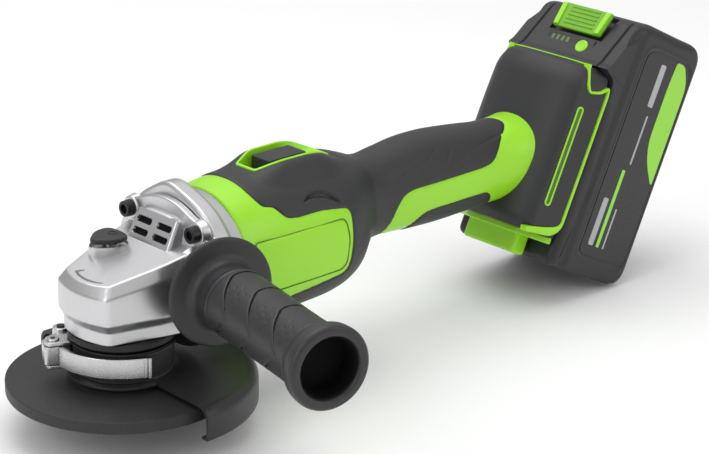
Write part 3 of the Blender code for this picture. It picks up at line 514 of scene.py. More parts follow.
# ---- spindle lock ----
# A cast pad beside the spindle's axis carries a black moulded button that presses the pin.
lock_x, lock_y = 4.0, 14.0
button = 1.2 * np.array([(-11.0, -0.6), (-3.0, -7.4), (4.4, -7.8), (6.2, -1.0), (5.0, 7.2),
                          (-2.5, 7.0)])
lock_frame = Matrix.Translation((lock_x, lock_y, 0.0))
moulded = finish("satin_moulding", (0.022, 0.022, 0.024), 0.38, grain=1700.0, depth=0.10,
                 shade=0.06, specular=0.4)
pad_outline = soften(button, 5.0, steps=9)
pad_levels = [np.column_stack([pad_outline * share, np.full(len(pad_outline), height)])
              for share, height in ((1.10, 60.0), (1.09, 69.4), (1.08, 70.9), (1.065, 71.3),
                                    (1.045, 71.3), (1.03, 70.9), (1.03, 69.0), (0.05, 69.0))]
pad_rings = placed(np.stack(pad_levels), lock_frame)
ring_piece("lock_pad", pad_rings, cast, "housing", sharp=50.0)
slab("lock_cap", button, 72.5, 75.2, moulded, "lock", ["lock_button"], edge=1.0,
     at=lock_frame, radius=5.0, steps=9)
turned("lock_cap_ring", [(1.5, 75.05), (2.3, 75.05), (2.3, 75.5), (1.5, 75.5)], moulded, "lock",
       radius=0.15, centre=(lock_x + 2.0, lock_y, 0.0), steps=36)


# ---- neck ----
# Black ring screwed up under the head; it holds the lower bearing and carries the guard.
turned("neck_ring", [(15.2, 32.6), (26.6, 32.6), (26.6, 29.4), (25.0, 28.6), (22.4, 28.4),
                     (22.4, 15.0), (9.6, 15.0), (9.6, 19.0), (15.2, 19.0)], black_steel,
       "housing", ["bearing_cap"], radius=0.5, steps=144)


# ---- motor flange ----
# Turned and cast aluminium ring and sleeve that join the head to the plastic body.
ring_t = np.radians(np.arange(0.0, 360.0, 2.0))
flange_profile = soften([(11.1, 31.3), (38.6, 31.3), (40.6, 32.4), (40.6, 39.8), (39.4, 41.6),
                         (36.6, 43.2), (35.9, 50.6), (31.5, 50.6), (31.5, 36.0), (11.1, 36.0)],
                        [0.2, 1.0, 1.0, 1.0, 1.2, 2.0, 0.3, 0.2, 0.2, 0.2], steps=5)
lobe = 2.6 * np.exp(-(((np.degrees(ring_t) - 84.0 + 180.0) % 360.0 - 180.0) / 13.0) ** 2)
ring_r = flange_profile[None, :, 0] + lobe[:, None] * (
    (flange_profile[None, :, 0] > 38.4) & (flange_profile[None, :, 1] < 42.0))
flange_rings = np.stack([flange_profile[None, :, 1] + 0 * ring_r,
                         ring_r * np.cos(ring_t)[:, None],
                         motor_z + ring_r * np.sin(ring_t)[:, None]], -1)
ring_piece("flange_ring", flange_rings, cast, "housing", ["motor_flange"],
           sharp=40.0, closed_rows=True)
copper = finish("wound_copper", (0.72, 0.33, 0.16), 0.34, metal=1.0, grain=600.0, depth=0.3,
                stretch=(8.0, 1.0, 1.0))
repaint(copper, "motor_stator", "battery_contacts")
repaint(moulded, "cooling_fan", "switch_module", "terminal_block")
board = finish("solder_mask", (0.015, 0.14, 0.06), 0.35, grain=500.0, depth=0.2)
repaint(board, "control_board", "battery_gauge_board")
sleeve = finish("cell_wrap", (0.06, 0.16, 0.42), 0.3, grain=300.0, depth=0.04, coat=0.4)
repaint(sleeve, *(f"battery_cell_{number}" for number in range(1, 13)))


# ---- green body ----
# Two glass-filled nylon shells, moulded in lime green, from the flange to the battery foot. They
# show at the front band, in a window on each side, along the grip and as the collar.
stations = np.array([
    (50.3, 55.6, 34.0, 36.6), (64.0, 56.6, 34.4, 37.6), (84.0, 57.0, 34.6, 38.2),
    (104.0, 57.2, 34.6, 38.2), (120.0, 57.4, 33.8, 37.2), (130.0, 57.8, 31.6, 35.6),
    (138.0, 58.6, 28.2, 33.0), (145.0, 60.6, 23.6, 28.6), (151.0, 62.4, 19.8, 24.4),
    (158.0, 62.8, 18.4, 22.8), (170.0, 63.2, 18.6, 23.6), (188.0, 63.8, 19.4, 25.2),
    (205.0, 63.6, 19.6, 25.6), (222.0, 63.0, 19.4, 24.8), (236.0, 62.4, 19.4, 23.8),
    (247.0, 61.8, 19.5, 23.0), (256.0, 61.6, 20.6, 22.8), (267.0, 61.2, 22.6, 23.4),
    (278.0, 60.6, 25.0, 25.0)])
roundness = 2.25


def between(x, places, values):
    """Cubic curve through the values: each slope is that of the chord past its neighbours."""
    slope = np.gradient(values, places)
    k = np.clip(np.searchsorted(places, x) - 1, 0, len(places) - 2)
    width = places[k + 1] - places[k]
    t = np.clip((x - places[k]) / width, 0.0, 1.0)
    return ((1 + 2 * t) * (1 - t) ** 2 * values[k] + t * (1 - t) ** 2 * width * slope[k]
            + t * t * (3 - 2 * t) * values[k + 1] + t * t * (t - 1) * width * slope[k + 1])


def barrel(x, angle, inset):
    """Rounded section: y = a cos^(2/n), z = middle + b sin^(2/n), both less the inset."""
    middle, half_width, half_height = (between(x, stations[:, 0], stations[:, k])
                                       for k in (1, 2, 3))
    c, s = np.cos(angle), np.sin(angle)
    power = 2.0 / roundness
    y = (half_width - inset) * np.sign(c) * np.abs(c) ** power
    z = middle + (half_height - inset) * np.sign(s) * np.abs(s) ** power
    return np.stack([x + 0 * y, y, z], -1)


def depth_inside(x, z, outline):
    """How far each point lies inside a closed outline: minus the distance outside it."""
    nearest = np.full(x.shape, 1e9)
    inside = np.zeros(x.shape, bool)
    for (ax, az), (bx, bz) in zip(outline, np.roll(outline, -1, 0)):
        run = (bx - ax) ** 2 + (bz - az) ** 2 + 1e-12
        t = np.clip(((x - ax) * (bx - ax) + (z - az) * (bz - az)) / run, 0.0, 1.0)
        nearest = np.minimum(nearest, np.hypot(x - ax - t * (bx - ax), z - az - t * (bz - az)))
        crosses = (az > z) != (bz > z)
        inside ^= crosses & (x < ax + (z - az) / (bz - az + 1e-12) * (bx - ax))
    return np.where(inside, nearest, -nearest)


window = soften([(40.0, 140.0), (64.4, 140.0), (64.8, 92.0), (66.2, 88.0), (68.6, 84.6),
                 (74.3, 83.6), (79.8, 77.4), (87.0, 76.2), (102.0, 76.5), (121.6, 73.6),
                 (122.8, 56.0), (121.4, 38.6), (80.8, 33.7), (66.0, 31.0), (63.5, 10.0),
                 (40.0, 0.0)],
                [0, 0, 2, 2, 2, 2, 2.5, 4, 6, 4.5, 10, 5, 6, 4, 2, 0], steps=7)
stripe = soften([(158.0, 30.0), (163.6, 43.0), (168.2, 58.4), (173.0, 64.6), (180.0, 66.4),
                 (215.0, 66.8), (232.0, 67.0), (240.0, 68.5), (245.0, 74.0), (250.0, 79.4),
                 (257.0, 82.6), (263.0, 85.0), (272.0, 100.0), (300.0, 100.0), (300.0, 20.0),
                 (256.0, 20.0), (247.0, 36.0), (241.0, 48.5), (236.0, 51.4), (197.4, 51.2),
                 (189.0, 50.4), (184.0, 45.0), (177.0, 30.0)],
                [0, 2, 4, 4, 4, 2, 4, 5, 5, 5, 4, 4, 2, 0, 0, 2, 4, 5, 4, 3, 4, 4, 0], steps=4)
switch_plan = np.array([(78.2, 7.4), (90.0, 12.0), (112.0, 12.3), (118.5, 11.6), (130.0, 6.4),
                        (130.0, -6.4), (118.5, -11.6), (112.0, -12.3), (90.0, -12.0),
                        (78.2, -7.4)])
switch_outline = soften(switch_plan, [1.5, 3, 3, 4, 3, 3, 4, 3, 3, 1.5], steps=5)


def rim_height(x):
    """Height of the switch frame's rim along the body."""
    return between(x, np.array([74.0, 78.2, 84.0, 90.0, 101.0, 112.0, 118.5, 126.0, 132.0]),
                   np.array([95.2, 96.4, 98.2, 99.6, 100.1, 99.8, 98.6, 95.4, 92.8]))


def green_depth(points):
    """How far a point of the skin lies inside the green areas."""
    x, z = points[..., 0], points[..., 2]
    return np.maximum(depth_inside(x, z, window), depth_inside(x, z, stripe))


def body_grid(xs, around, inset_of, swell):
    """Skin of the body: sections at each x, set in by a depth worked out at each point."""
    x, angle = np.meshgrid(xs, np.linspace(0, 2 * math.pi, around, endpoint=False),
                           indexing="ij")
    plain = barrel(x, angle, 0.0)
    skin = barrel(x, angle, inset_of(plain))
    out = depth_inside(plain[..., 0], plain[..., 1], switch_outline)
    top = plain[..., 2] > 75.0
    lift = np.clip(1.0 + out / 11.0, 0.0, 1.0)
    lift = lift * lift * (3 - 2 * lift)
    rise = np.maximum(rim_height(plain[..., 0]) - 0.7 - skin[..., 2], 0.0) * lift * swell
    skin[..., 2] += np.where(top, rise, 0.0)
    well = np.clip((out - 0.5) / 1.0, 0.0, 1.0)
    skin[..., 2] = np.where(top, skin[..., 2] * (1 - well) + 83.5 * well, skin[..., 2])
    return skin


panel_line = soften([(57.5, 69.8), (117.0, 69.3), (119.8, 58.0), (119.0, 44.0), (116.0, 41.4),
                     (72.0, 41.2), (57.5, 41.0)], [2, 3.5, 3, 4, 4, 2, 2], steps=4)


def green_inset(points):
    """A little under the rubber, with a gap line along it and the panel's thin groove."""
    depth = green_depth(points)
    x, z = points[..., 0], points[..., 2]
    line = np.abs(depth_inside(x, z, panel_line))
    gap = 0.4 * np.exp(-(depth / 0.7) ** 2)
    side = np.abs(points[..., 1]) > 24.0
    groove = np.where(side & (x > 56.0), 0.5 * np.exp(-(line / 0.48) ** 2), 0.0)
    front = 0.8 * np.clip((51.6 - x) / 1.3, 0, 1) ** 2
    under = 2.2 * np.clip((-depth - 0.9) / 1.6, 0.0, 1.0)
    return 0.35 + gap + groove + front + under


lime = finish("lime_nylon", (0.330, 0.760, 0.014), 0.33, grain=2100.0, depth=0.09, shade=0.03,
              spread=0.05, coat=0.10)
green_xs = np.concatenate([[50.35, 50.5, 50.8, 51.2], np.arange(51.6, 128.0, 0.62),
                           np.arange(128.0, 278.01, 1.25)])
green_skin = body_grid(green_xs, 300, green_inset, 0.0)
ring_piece("body_shell", green_skin, lime, "housing",
           ["housing_left", "housing_right", "handle_collar"], sharp=60.0)

# Darker lime as painted shade: tubes in the panel's groove and the floors of the foot's slots.
lime_painted_shade = finish("lime_in_shade", (0.07, 0.17, 0.01), 0.5, grain=1200.0)
panel_path = np.vstack([panel_line, panel_line[:1]])
panel_mid, panel_wide, panel_high = (between(panel_path[:, 0], stations[:, 0], stations[:, k])
                                     for k in (1, 2, 3))
panel_y = (panel_wide - 0.35) * (1 - (np.abs(panel_path[:, 1] - panel_mid)
                                      / (panel_high - 0.35)) ** roundness) ** (1 / roundness)
both_sides = (("near", -1.0), ("far", 1.0))
# Darker lime tubes in the panel groove are painted shade.
for label, side in both_sides:
    tube(f"panel_groove_{label}", np.stack([panel_path[:, 0], side * (panel_y - 0.12),
                                            panel_path[:, 1]], 1), 0.3, lime_painted_shade, "housing",
         sides=8)


# ---- rubber overmould ----
# Soft thermoplastic moulded over the shells: it wraps the belly, rises round the switch, pinches
# at the waist and covers the grip, with a thumb hollow over the window and fine parting lines.
def line_distance(x, z, path):
    """Distance of each point to an open line."""
    nearest = np.full(x.shape, 1e9)
    for (ax, az), (bx, bz) in zip(path[:-1], path[1:]):
        run = (bx - ax) ** 2 + (bz - az) ** 2 + 1e-12
        t = np.clip(((x - ax) * (bx - ax) + (z - az) * (bz - az)) / run, 0.0, 1.0)
        nearest = np.minimum(nearest, np.hypot(x - ax - t * (bx - ax), z - az - t * (bz - az)))
    return nearest


crescent = soften([(91.0, 81.2), (97.0, 84.6), (103.0, 85.6), (109.0, 84.2), (114.0, 80.4),
                   (117.6, 75.4), (112.0, 79.0), (106.0, 81.4), (99.0, 82.6)], 2.0, steps=4)
grip_lines = ([(196.0, 72.5), (204.0, 76.0), (210.0, 82.0)],
              [(214.0, 71.5), (221.0, 77.0), (236.0, 79.5), (252.0, 80.5)],
              [(174.0, 76.0), (190.0, 79.0), (200.0, 84.0)])


def rubber_inset(points):
    """Flush where it covers, dived under the green where that shows, with hollows and lines."""
    depth = green_depth(points)
    x, y, z = points[..., 0], points[..., 1], points[..., 2]
    dive = 2.4 * np.clip((depth + 0.75) / 2.6, 0.0, 1.0)
    lens = depth_inside(x, z, crescent)
    hollow = np.where(np.abs(y) > 8.0, 2.0 * np.clip(lens / 0.9, 0, 1), 0.0)
    lines = sum(0.4 * np.exp(-(line_distance(x, z, path) / 0.6) ** 2) for path in grip_lines)
    return dive + hollow + np.where(z > 64.0, lines, 0.0)


rubber = finish("soft_rubber", (0.026, 0.026, 0.028), 0.46, grain=1900.0, depth=0.16, shade=0.06,
                spread=0.05, specular=0.45)
rubber_xs = np.concatenate([np.arange(61.0, 132.0, 0.8), np.arange(132.0, 270.0, 1.1)])
rubber_skin = body_grid(rubber_xs, 300, rubber_inset, 1.0)
ring_piece("rubber_overmould", rubber_skin, rubber, "housing", ["grip_overmold"],
           sharp=60.0)


# ---- switch ----
# A green tray let into the rubber, with a thin bright rim; the black slider runs in its well and
# a scoop behind it leaves room for the thumb.
def tray_floor(x):
    """Depth of the tray: a well under the slider and a scoop behind it."""
    return between(x, np.array([76.0, 80.0, 86.0, 100.0, 112.0, 115.5, 121.0, 127.0, 131.0]),
                   np.array([90.5, 89.5, 87.2, 86.6, 86.6, 91.8, 94.2, 93.6, 92.6]))


def plan_inset(inset):
    """The switch outline drawn in towards its middle line by an inset."""
    middle = 103.0
    flat = switch_outline.copy()
    flat[:, 0] = middle + (flat[:, 0] - middle) * (1 - inset / 25.5)
    flat[:, 1] *= 1 - inset / 12.0
    return flat


tray_levels = []
for inset, rim_share, lift in ((11.99, 0.0, -1.6), (3.0, 0.0, -1.6), (0.3, 0.7, -1.4),
                               (0.0, 1.0, -0.8), (0.0, 1.0, -0.25), (0.25, 1.0, 0.0),
                               (1.1, 1.0, 0.0), (1.4, 1.0, -0.3), (2.2, 0.35, 0.0),
                               (2.9, 0.04, 0.0), (3.6, 0.0, 0.0), (6.0, 0.0, 0.0),
                               (9.0, 0.0, 0.0), (11.99, 0.0, 0.0)):
    flat = plan_inset(inset)
    height = (rim_height(flat[:, 0]) * rim_share + tray_floor(flat[:, 0]) * (1 - rim_share) + lift)
    tray_levels.append(np.column_stack([flat, height]))
tray = np.stack(tray_levels)
ring_piece("switch_tray", tray, lime, "housing", ["switch_bezel"], sharp=40.0)
slab("slider_block", rectangle(88.4, -7.0, 113.4, 7.0), 86.9, 98.9, moulded, "slider",
     ["switch_slider"], edge=0.6, radius=0.9)
for number, (x, y) in enumerate(((118.6, -2.4), (119.6, 0.2), (118.6, 2.8))):
    slab(f"scoop_mark_{number}", rectangle(x, y - 0.7, x + 1.8, y + 0.7), 92.6, 93.9, moulded,
         "housing", edge=0.15, radius=0.3)


# ---- side handle ----
# Glass-filled nylon grip round a steel stud: a thin hand guard, a waist, three grooved chevron
# fields with dimples on each side, and a flared end that is hollow.
handle_frame = np.array(along(handle_out, handle_at))
outer = soften([(12.0, 0.0), (25.9, 0.0), (27.3, 0.9), (27.3, 2.3), (26.4, 3.1), (18.4, 4.0),
                (16.0, 6.8), (15.7, 15.0), (16.9, 17.0), (17.0, 36.0), (16.5, 60.0),
                (16.4, 84.0), (17.2, 93.5), (20.1, 98.6), (20.3, 104.4), (19.0, 106.0),
                (15.6, 106.0), (14.8, 104.6), (14.4, 92.0), (12.0, 91.6)],
               [0, 0.8, 0.6, 0.6, 0.8, 2.2, 2.4, 1.2, 0.7, 8, 10, 10, 5, 2.2, 1.2, 0.7, 0.7, 1.5,
                1.5, 0], closed=False, steps=7)
run = np.concatenate([[0.0], np.cumsum(np.linalg.norm(np.diff(outer, axis=0), axis=1))])
at_run = np.arange(0.0, run[-1], 0.62)
profile_r = np.interp(at_run, run, outer[:, 0])
profile_d = np.interp(at_run, run, outer[:, 1])
spin = np.linspace(0.0, 2 * math.pi, 200, endpoint=False)
grip_d, grip_a = np.meshgrid(profile_d, spin, indexing="ij")
grip_r = np.broadcast_to(profile_r[:, None], grip_d.shape).copy()
outside = (np.arange(len(at_run)) < np.searchsorted(at_run, run[-1] * 0.83))[:, None]
on_grip = outside & (grip_d > 14.0) & (grip_d < 94.0)
grip_radius, chevron_starts = 16.6, (21.0, 44.0, 67.0)
arc = (np.mod(grip_a * 2, 2 * math.pi) - math.pi) / 2 * grip_radius
field = np.full(grip_d.shape, 1e9)
for start in chevron_starts:
    ridge = [(start + 13.0, -24.0), (start + 3.0, -16.0), (start, -6.0), (start + 1.0, 4.0),
             (start + 7.0, 12.0), (start + 17.0, 24.0)]
    field = np.minimum(field, line_distance(grip_d, arc, ridge))
collar_line = np.minimum(np.abs(grip_d - 19.0), np.abs(grip_d - 92.5))
groove = 0.85 * np.exp(-(field / 0.48) ** 2) + 0.6 * np.exp(-(collar_line / 0.45) ** 2)
pitch = 4.4
cell_d = np.mod(grip_d, pitch) - pitch / 2
cell_a = np.mod(arc + 0.5 * pitch * np.mod(np.floor(grip_d / pitch), 2), pitch) - pitch / 2
dimple = 0.5 * np.exp(-(np.hypot(cell_d, cell_a) / 0.55) ** 2)
dotted = (np.abs(arc) > 6.0) & (np.abs(arc) < 19.0) & (np.mod(grip_d - 23.0, 23.0) > 9.0)
dimple = np.where(dotted & (field > 1.5), dimple, 0.0)
grip_r = grip_r - np.where(on_grip, groove + dimple, 0.0)
handle_grid = placed(np.stack([grip_r * np.cos(grip_a), grip_r * np.sin(grip_a), grip_d], -1),
                     handle_frame)
# Near-black tubes laid in the chevron grooves are painted shade.
for number in range(6):
    start, turn_back = chevron_starts[number % 3], math.pi * (number // 3)
    chevron = soften([(start + 12.0, -21.0), (start + 3.0, -16.0), (start, -6.0),
                      (start + 1.0, 4.0), (start + 7.0, 12.0), (start + 15.0, 20.0)],
                     3.0, closed=False, steps=5)
    bearing = chevron[:, 1] / grip_radius + math.pi / 2 + turn_back
    radial = np.interp(chevron[:, 0], [17.0, 36.0, 60.0, 84.0, 93.5],
                       [16.75, 16.8, 16.3, 16.2, 17.0]) - 0.2
    path = np.stack([radial * np.cos(bearing), radial * np.sin(bearing), chevron[:, 0]], 1)
    tube(f"grip_chevron_{number}", placed(path, handle_frame), 0.5, painted_shade_black, "side_handle",
         sides=8)
# The flared end's hollow is lined in near-black as painted shade.
hollow = placed(turned_rings(soften([(14.2, 92.0), (14.65, 104.2), (14.1, 104.2), (13.8, 92.8),
                                     (0.01, 92.8), (0.01, 92.0)], 0.1), steps=72), handle_frame)
ring_piece("handle_hollow", hollow, painted_shade_black, "side_handle", closed_rows=True)
handle_nylon = finish("handle_nylon", (0.026, 0.026, 0.028), 0.42, grain=1800.0, depth=0.15,
                      shade=0.06, specular=0.45)
ring_piece("handle_grip", handle_grid, handle_nylon, "side_handle",
           ["side_handle_grip"], sharp=50.0)


# ---- battery foot ----
# The dark base of the grip: a broad block bowed towards the hand, with a slim slot on each side,
# over the rails that the battery slides on.
tilt = math.radians(26.0)
foot_frame = Matrix(((math.cos(tilt), 0, math.sin(tilt), 0), (0, 1, 0, 0),
                     (-math.sin(tilt), 0, math.cos(tilt), 4.0), (0, 0, 0, 1)))
foot_half, foot_back = 36.5, 237.6


def foot_side(n):
    """Half width of the foot at a distance from the rails' plane."""
    return np.interp(n, [210.0, 214.0, 218.6, 237.0], [14.0, 25.5, 31.9, 36.5])


def foot_ring(l, draw):
    """Plan of the foot at a height, drawn in all round near its ends."""
    half, front = foot_half - 0.6 * draw, 210.0 + draw
    plan = [(front, -12.0), (front, 12.0), (front + 4.0, half * 0.70), (front + 8.6, half * 0.875),
            (foot_back, half), (foot_back, -half), (front + 8.6, -half * 0.875),
            (front + 4.0, -half * 0.70)]
    flat = soften(plan, [7, 7, 6, 2.4, 1.2, 1.2, 2.4, 6], steps=7)
    return np.column_stack([flat, np.full(len(flat), l)])


foot_levels = np.stack([foot_ring(134.0, 5.0), foot_ring(134.0, 3.4), foot_ring(139.0, 0.2),
                        foot_ring(160.0, 0.0), foot_ring(200.0, 0.0), foot_ring(220.0, 0.6),
                        foot_ring(228.6, 4.2), foot_ring(230.4, 8.0)])
foot_rings = placed(soften(foot_levels, [0, 2.5, 6, 8, 8, 8, 5, 0], closed=False, steps=7),
                    foot_frame)
ring_piece("foot_cover", foot_rings, rubber, "housing", sharp=60.0)
for label, side in both_sides:
    slot_t = np.radians(np.arange(3.75, 360.0, 7.5))
    slot_l = 179.0 + 26.6 * np.sign(np.cos(slot_t)) + 1.6 * np.cos(slot_t)
    slot_n = 224.0 + 1.6 * np.sin(slot_t)
    loop = np.stack([slot_n, side * (foot_side(slot_n) + 0.15), slot_l], 1)
    ring_side = np.array([[0.55 * math.cos(a), 0.55 * math.sin(a)]
                          for a in np.linspace(0, 2 * math.pi, 8, endpoint=False)])
    centre_out = loop - np.array([224.0, 0.0, 179.0])
    centre_out[:, 1] = 0.0
    centre_out[:, 2] -= np.clip(centre_out[:, 2], -26.6, 26.6)
    centre_out /= np.linalg.norm(centre_out, axis=1, keepdims=True) + 1e-9
    rings = (loop[:, None] + centre_out[:, None] * ring_side[None, :, :1]
             + np.array([0.0, side, 0.0]) * ring_side[None, :, 1:])
    ring_piece(f"slot_rim_{label}", placed(rings, foot_frame), lime, "housing",
               closed_rows=True)
    # The slot's floor in darker lime is painted shade.
    fill = np.stack([loop * (1, 0, 1) + (0, 1, 0) * (loop[:, 1:2] - side * deep)
                     for deep in (2.0, -0.12)])
    ring_piece(f"slot_floor_{label}", placed(fill, foot_frame), lime_painted_shade, "housing")


# ---- foot trim and bumper ----
# Green gasket frame that shows along the seam between foot and battery, and a green bumper that
# closes the lower end of the rails.
trim_path = soften([(223.4, 231.4), (224.2, 219.6), (226.2, 216.6), (233.4, 218.6), (237.6, 222.6),
                    (238.5, 218.0), (238.3, 141.6), (232.6, 137.4), (215.0, 134.6)],
                   [0, 1.6, 1.8, 2.2, 1.4, 1.4, 5, 5, 0], closed=False, steps=7)
trim_run = np.concatenate([[0.0], np.cumsum(np.linalg.norm(np.diff(trim_path, axis=0), axis=1))])
trim_at = np.linspace(0.0, trim_run[-1], 150)
trim_path = np.stack([np.interp(trim_at, trim_run, trim_path[:, k]) for k in (0, 1)], 1)
trim_slope = np.gradient(trim_path, axis=0)
trim_slope /= np.linalg.norm(trim_slope, axis=1, keepdims=True)
trim_out = np.stack([-trim_slope[:, 1], trim_slope[:, 0]], 1)
trim_half = np.interp(trim_at / trim_run[-1], [0.0, 0.80, 0.87, 1.0], [0.7, 1.0, 2.4, 1.4])
for label, side in both_sides:
    columns = []
    for share, drop in ((-1.0, 3.6), (-1.0, -0.1), (-0.7, -0.55), (0.7, -0.55), (1.0, -0.1),
                        (1.0, 3.6)):
        line = trim_path + trim_out * (share * trim_half)[:, None]
        sunk = 3.2 * np.clip((line[:, 1] - 219.0) / 10.0, 0.0, 1.0) * (line[:, 0] < 230.0)
        y = side * (np.maximum(foot_side(line[:, 0]), 31.9) - drop - sunk)
        columns.append(np.column_stack([line[:, 0], y, line[:, 1]]))
    rings = placed(np.stack(columns, 1), foot_frame)
    ring_piece(f"seam_trim_{label}", rings, lime, "housing",
               ["foot_trim"] if side < 0 else (), sharp=45.0)
bridge_y = np.linspace(-28.5, 28.5, 41)
bridge = np.stack([223.6 + 0.0 * bridge_y, bridge_y,
                   231.0 - 0.6 * (np.abs(bridge_y) / 28.5) ** 6], 1)
tube("seam_trim_top", placed(bridge, foot_frame), 0.5, lime, "housing")
slab("bumper", rectangle(226.5, -19.0, 237.6, 19.0), 119.6, 133.6, lime, "housing",
     ["foot_bumper"], edge=1.6, at=foot_frame, radius=2.4)
under_plan = soften([(224.0, -18.0), (224.0, 18.0), (236.8, 35.5), (236.8, -35.5)],
                    [6, 6, 2, 2], steps=5)
slab("rail_liner", under_plan, 130.6, 134.4, lime, "housing", edge=0.8,
     at=foot_frame, radius=0.3, steps=2)


# ---- battery ----
# Two moulded shells over twelve cells. The long sides are flat with a sunk label, the end that
# meets the foot slopes back with a rail groove on each side, and every corner is well rounded.
pack_half = 38.5
profile = soften([(240.0, 120.0), (240.0, 222.5), (238.0, 228.0), (228.8, 231.9), (232.0, 234.8),
                  (246.6, 261.8), (254.0, 264.5), (306.5, 264.5), (306.5, 120.0)],
                 [5, 3, 3, 1.2, 2.0, 4.0, 5.0, 12.0, 12.0], steps=9)
centre = np.array([258.0, 222.0])
loop = np.vstack([profile, profile[:1]])
run = np.concatenate([[0.0], np.cumsum(np.linalg.norm(np.diff(loop, axis=0), axis=1))])
even = np.linspace(0.0, run[-1], 400, endpoint=False)
profile = np.stack([np.interp(even, run, loop[:, k]) for k in (0, 1)], 1)
tangent = np.roll(profile, -2, 0) - np.roll(profile, 2, 0)
inward = np.stack([tangent[:, 1], -tangent[:, 0]], 1)
inward /= np.linalg.norm(inward, axis=1, keepdims=True)
pack_middle = np.array([273.0, 192.0])
if np.sum(inward * (pack_middle - profile)) < 0:
    inward = -inward
inward = sum(np.roll(inward, shift, 0) for shift in range(-3, 4))
inward /= np.linalg.norm(inward, axis=1, keepdims=True)
slope_side = (profile[:, 0] < 249.0) & (profile[:, 1] > 229.0)
lip = np.clip((243.0 - profile[:, 0]) / 4.0, 0, 1) * np.clip((profile[:, 1] - 208.0) / 8.0, 0, 1)
heel = np.clip((profile[:, 0] - 285.0) / 15.0, 0.0, 1.0)
round_r = (6.0 - 2.2 * heel) * (1 - lip) + 1.4 * lip
latch_pocket = (profile[:, 0] < 248.0) & (profile[:, 1] > 247.0) & (profile[:, 1] < 263.4)
levels = []
for k in np.linspace(0.0, 1.0, 88):
    levels.append(("face", k, pack_half))
for a in np.linspace(math.pi / 2, 0.0, 9)[1:]:
    levels.append(("edge", 1 - math.cos(a), pack_half - round_r * (1 - math.sin(a))))
for y in (31.0, 30.6, 30.2, 29.8, 29.4, 29.0, 28.6, 28.2, 27.8, 27.4, 26.0, 19.6, 19.2, 10.0):
    levels.append(("wall", 0.0, y))
label_outline = soften([(257.0, 130.5), (257.0, 253.5), (303.0, 253.5), (303.0, 130.5)],
                       [6, 9, 12, 8], steps=8)


def pack_ring(kind, value, y):
    """One loop of the pack's skin: shrunk about the centre on a face, drawn in on an edge."""
    if kind == "face":
        drawn = profile + inward * round_r[:, None]
        flat = centre + (drawn - centre) * value
        depth = depth_inside(flat[:, 0], flat[:, 1], label_outline)
        sunk = 0.55 * np.clip(depth / 0.9, 0.0, 1.0) - 0.25 * np.exp(-((depth + 0.9) / 0.8) ** 2)
        shoulder = 1.5 * np.clip((253.0 - flat[:, 0]) / 5.0, 0.0, 1.0) ** 2
        height = y - sunk - shoulder * (3 - 2 * np.clip((253.0 - flat[:, 0]) / 5.0, 0, 1))
    else:
        drawn_by = value * round_r
        if kind == "wall":
            groove = 1.3 * math.exp(-((y - 29.2) / 0.6) ** 2)
            drawn_by = drawn_by + groove * slope_side + 2.6 * latch_pocket * (y < 19.4)
        flat = profile + inward * np.reshape(drawn_by, (-1, 1))
        blend = np.clip((253.0 - (profile[:, 0] + round_r * inward[:, 0])) / 5.0, 0.0, 1.0)
        share = (y - pack_half + round_r) / round_r if kind == "edge" else 0.0
        height = y - 1.5 * blend ** 2 * (3 - 2 * blend) * share
    return np.column_stack([flat[:, 0], np.broadcast_to(height, len(flat)), flat[:, 1]])


near = [pack_ring(*level) for level in levels]
far = [ring * (1, -1, 1) for ring in near[::-1]]
pack_rings = placed(np.stack(near + far), foot_frame)
pack_plastic = finish("pack_moulding", (0.023, 0.023, 0.025), 0.40, grain=2000.0, depth=0.14,
                      shade=0.05, specular=0.4)
ring_piece("pack_shell", pack_rings, pack_plastic, "battery",
           ["battery_case_front", "battery_case_rear"], sharp=50.0, caps=False)

label_film = finish("label_film", (0.022, 0.022, 0.024), 0.30, grain=900.0, depth=0.03,
                    shade=0.04, specular=0.4)
print_grey = finish("grey_print", (0.42, 0.43, 0.45), 0.4, grain=900.0, depth=0.03)
print_lime = finish("lime_print", (0.32, 0.74, 0.05), 0.36, grain=900.0, depth=0.03,
                    shade=0.04)
film_low, film_top, print_low, print_top = 37.0, 38.2, 37.6, 38.32
for label, side in both_sides:
    to_side = foot_frame @ Matrix(((1, 0, 0, 0), (0, 0, side, 0), (0, 1, 0, 0), (0, 0, 0, 1)))
    slab(f"label_{label}", [(258.4, 132.0), (258.4, 252.0), (301.8, 252.0), (301.8, 132.0)],
         film_low, film_top, label_film, "battery", edge=0.1, at=to_side,
         radius=[5, 8, 11, 7], steps=8)
    band = [(294.0, 251.6), (301.4, 241.0), (301.4, 182.0), (299.8, 182.0), (290.0, 193.0),
            (285.4, 204.0), (285.2, 236.0), (286.4, 251.6)]
    slab(f"label_band_{label}", band, print_low, print_top, print_lime, "battery",
         edge=0.05, at=to_side, radius=[3, 6, 1, 4, 12, 12, 6, 2], steps=7)
    for number, (n, low_l, high_l, wide) in enumerate(((264.0, 138.0, 166.0, 4.6),
                                                       (273.0, 222.0, 247.0, 4.8),
                                                       (275.6, 188.0, 217.0, 1.5),
                                                       (277.6, 138.0, 162.0, 1.3))):
        slab(f"label_bar_{label}_{number}", rectangle(n, low_l, n + wide, high_l), print_low,
             print_top, print_grey, "battery", edge=0.05, at=to_side, radius=1.2)
    slab(f"label_rule_{label}", rectangle(271.4, 138.0, 274.2, 184.0), print_low, print_top,
         print_lime, "battery", edge=0.05, at=to_side, radius=0.8)


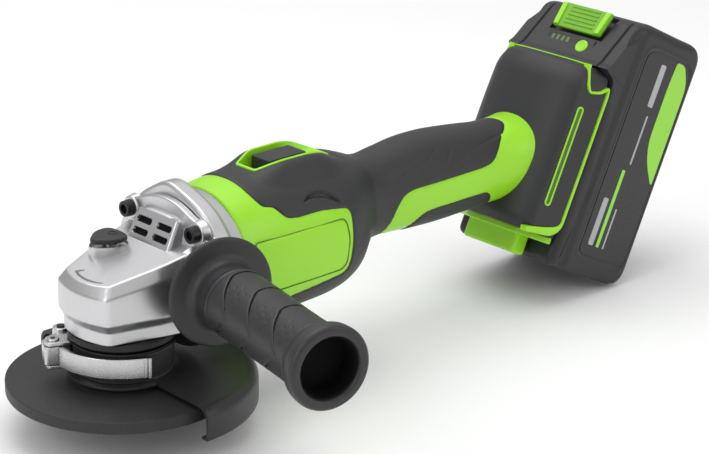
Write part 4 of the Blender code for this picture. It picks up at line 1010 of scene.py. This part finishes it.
# ---- latch and charge gauge ----
# A ribbed green latch at the top of the slope lets the pack go. Below it a sunk strip carries
# four charge marks and a round green button.
slope = math.radians(43.0)
face_at = np.array(foot_frame)[:3, :3] @ np.array([238.6, 0.0, 248.0]) + (0.0, 0.0, 4.0)
face_frame = Matrix(((-math.cos(slope), 0, math.sin(slope), face_at[0]), (0, 1, 0, 0),
                     (math.sin(slope), 0, math.cos(slope), face_at[2]), (0, 0, 0, 1)))
to_face = face_frame @ Matrix(((0, 0, 1, 0), (1, 0, 0, 0), (0, 1, 0, 0), (0, 0, 0, 1)))
# The latch plate and its ribs take a darker lime, painted shade on the latch's face; the cheeks
# keep the plain lime.
latch_painted_shade = finish("shaded_lime", (0.17, 0.45, 0.010), 0.36, grain=2100.0, depth=0.09)
slab("latch_plate", [(-17.4, 0.4), (17.4, 0.4), (18.6, 16.0), (-18.6, 16.0)], -0.7, 1.6, latch_painted_shade,
     "latch", ["battery_latch"], edge=0.7, at=to_face, radius=1.6)
for label, side in (("left", -1.0), ("right", 1.0)):
    slab(f"latch_cheek_{label}", [(side * 13.2, 1.0), (side * 16.6, 1.0), (side * 17.8, 15.4),
                                  (side * 14.4, 15.4)], -0.7, 2.8, lime, "latch",
         edge=0.6, at=to_face, radius=0.8)
for number in range(5):
    up = 3.2 + 2.6 * number
    slab(f"latch_rib_{number}", rectangle(-10.5, up, 10.5, up + 1.2), 1.2, 2.2, latch_painted_shade, "latch",
         edge=0.4, at=to_face, radius=0.5)
slab("gauge_strip", rectangle(-17.0, -13.4, 17.0, -2.2), -1.0, 0.9, label_film, "battery",
     edge=0.15, at=to_face, radius=1.2)
mark_paint = finish("mark_print", (0.12, 0.19, 0.06), 0.4, grain=900.0, depth=0.03)
for number in range(4):
    y = 13.6 - 3.6 * number
    slab(f"gauge_mark_{number}", rectangle(y - 2.0, -8.2, y, -4.4), 0.4, 1.05, mark_paint,
         "battery", edge=0.1, at=to_face, radius=0.4)
button_rings = placed(turned_rings(soften([(0.01, -1.4), (4.0, -1.4), (4.0, 1.7), (3.2, 2.2),
                                           (2.2, 1.9), (0.01, 1.9)], 0.4), steps=48),
                      to_face @ Matrix.Translation((-10.0, -8.0, 0.0)))
ring_piece("gauge_knob", button_rings, lime, "gauge", ["gauge_button"],
           closed_rows=True)
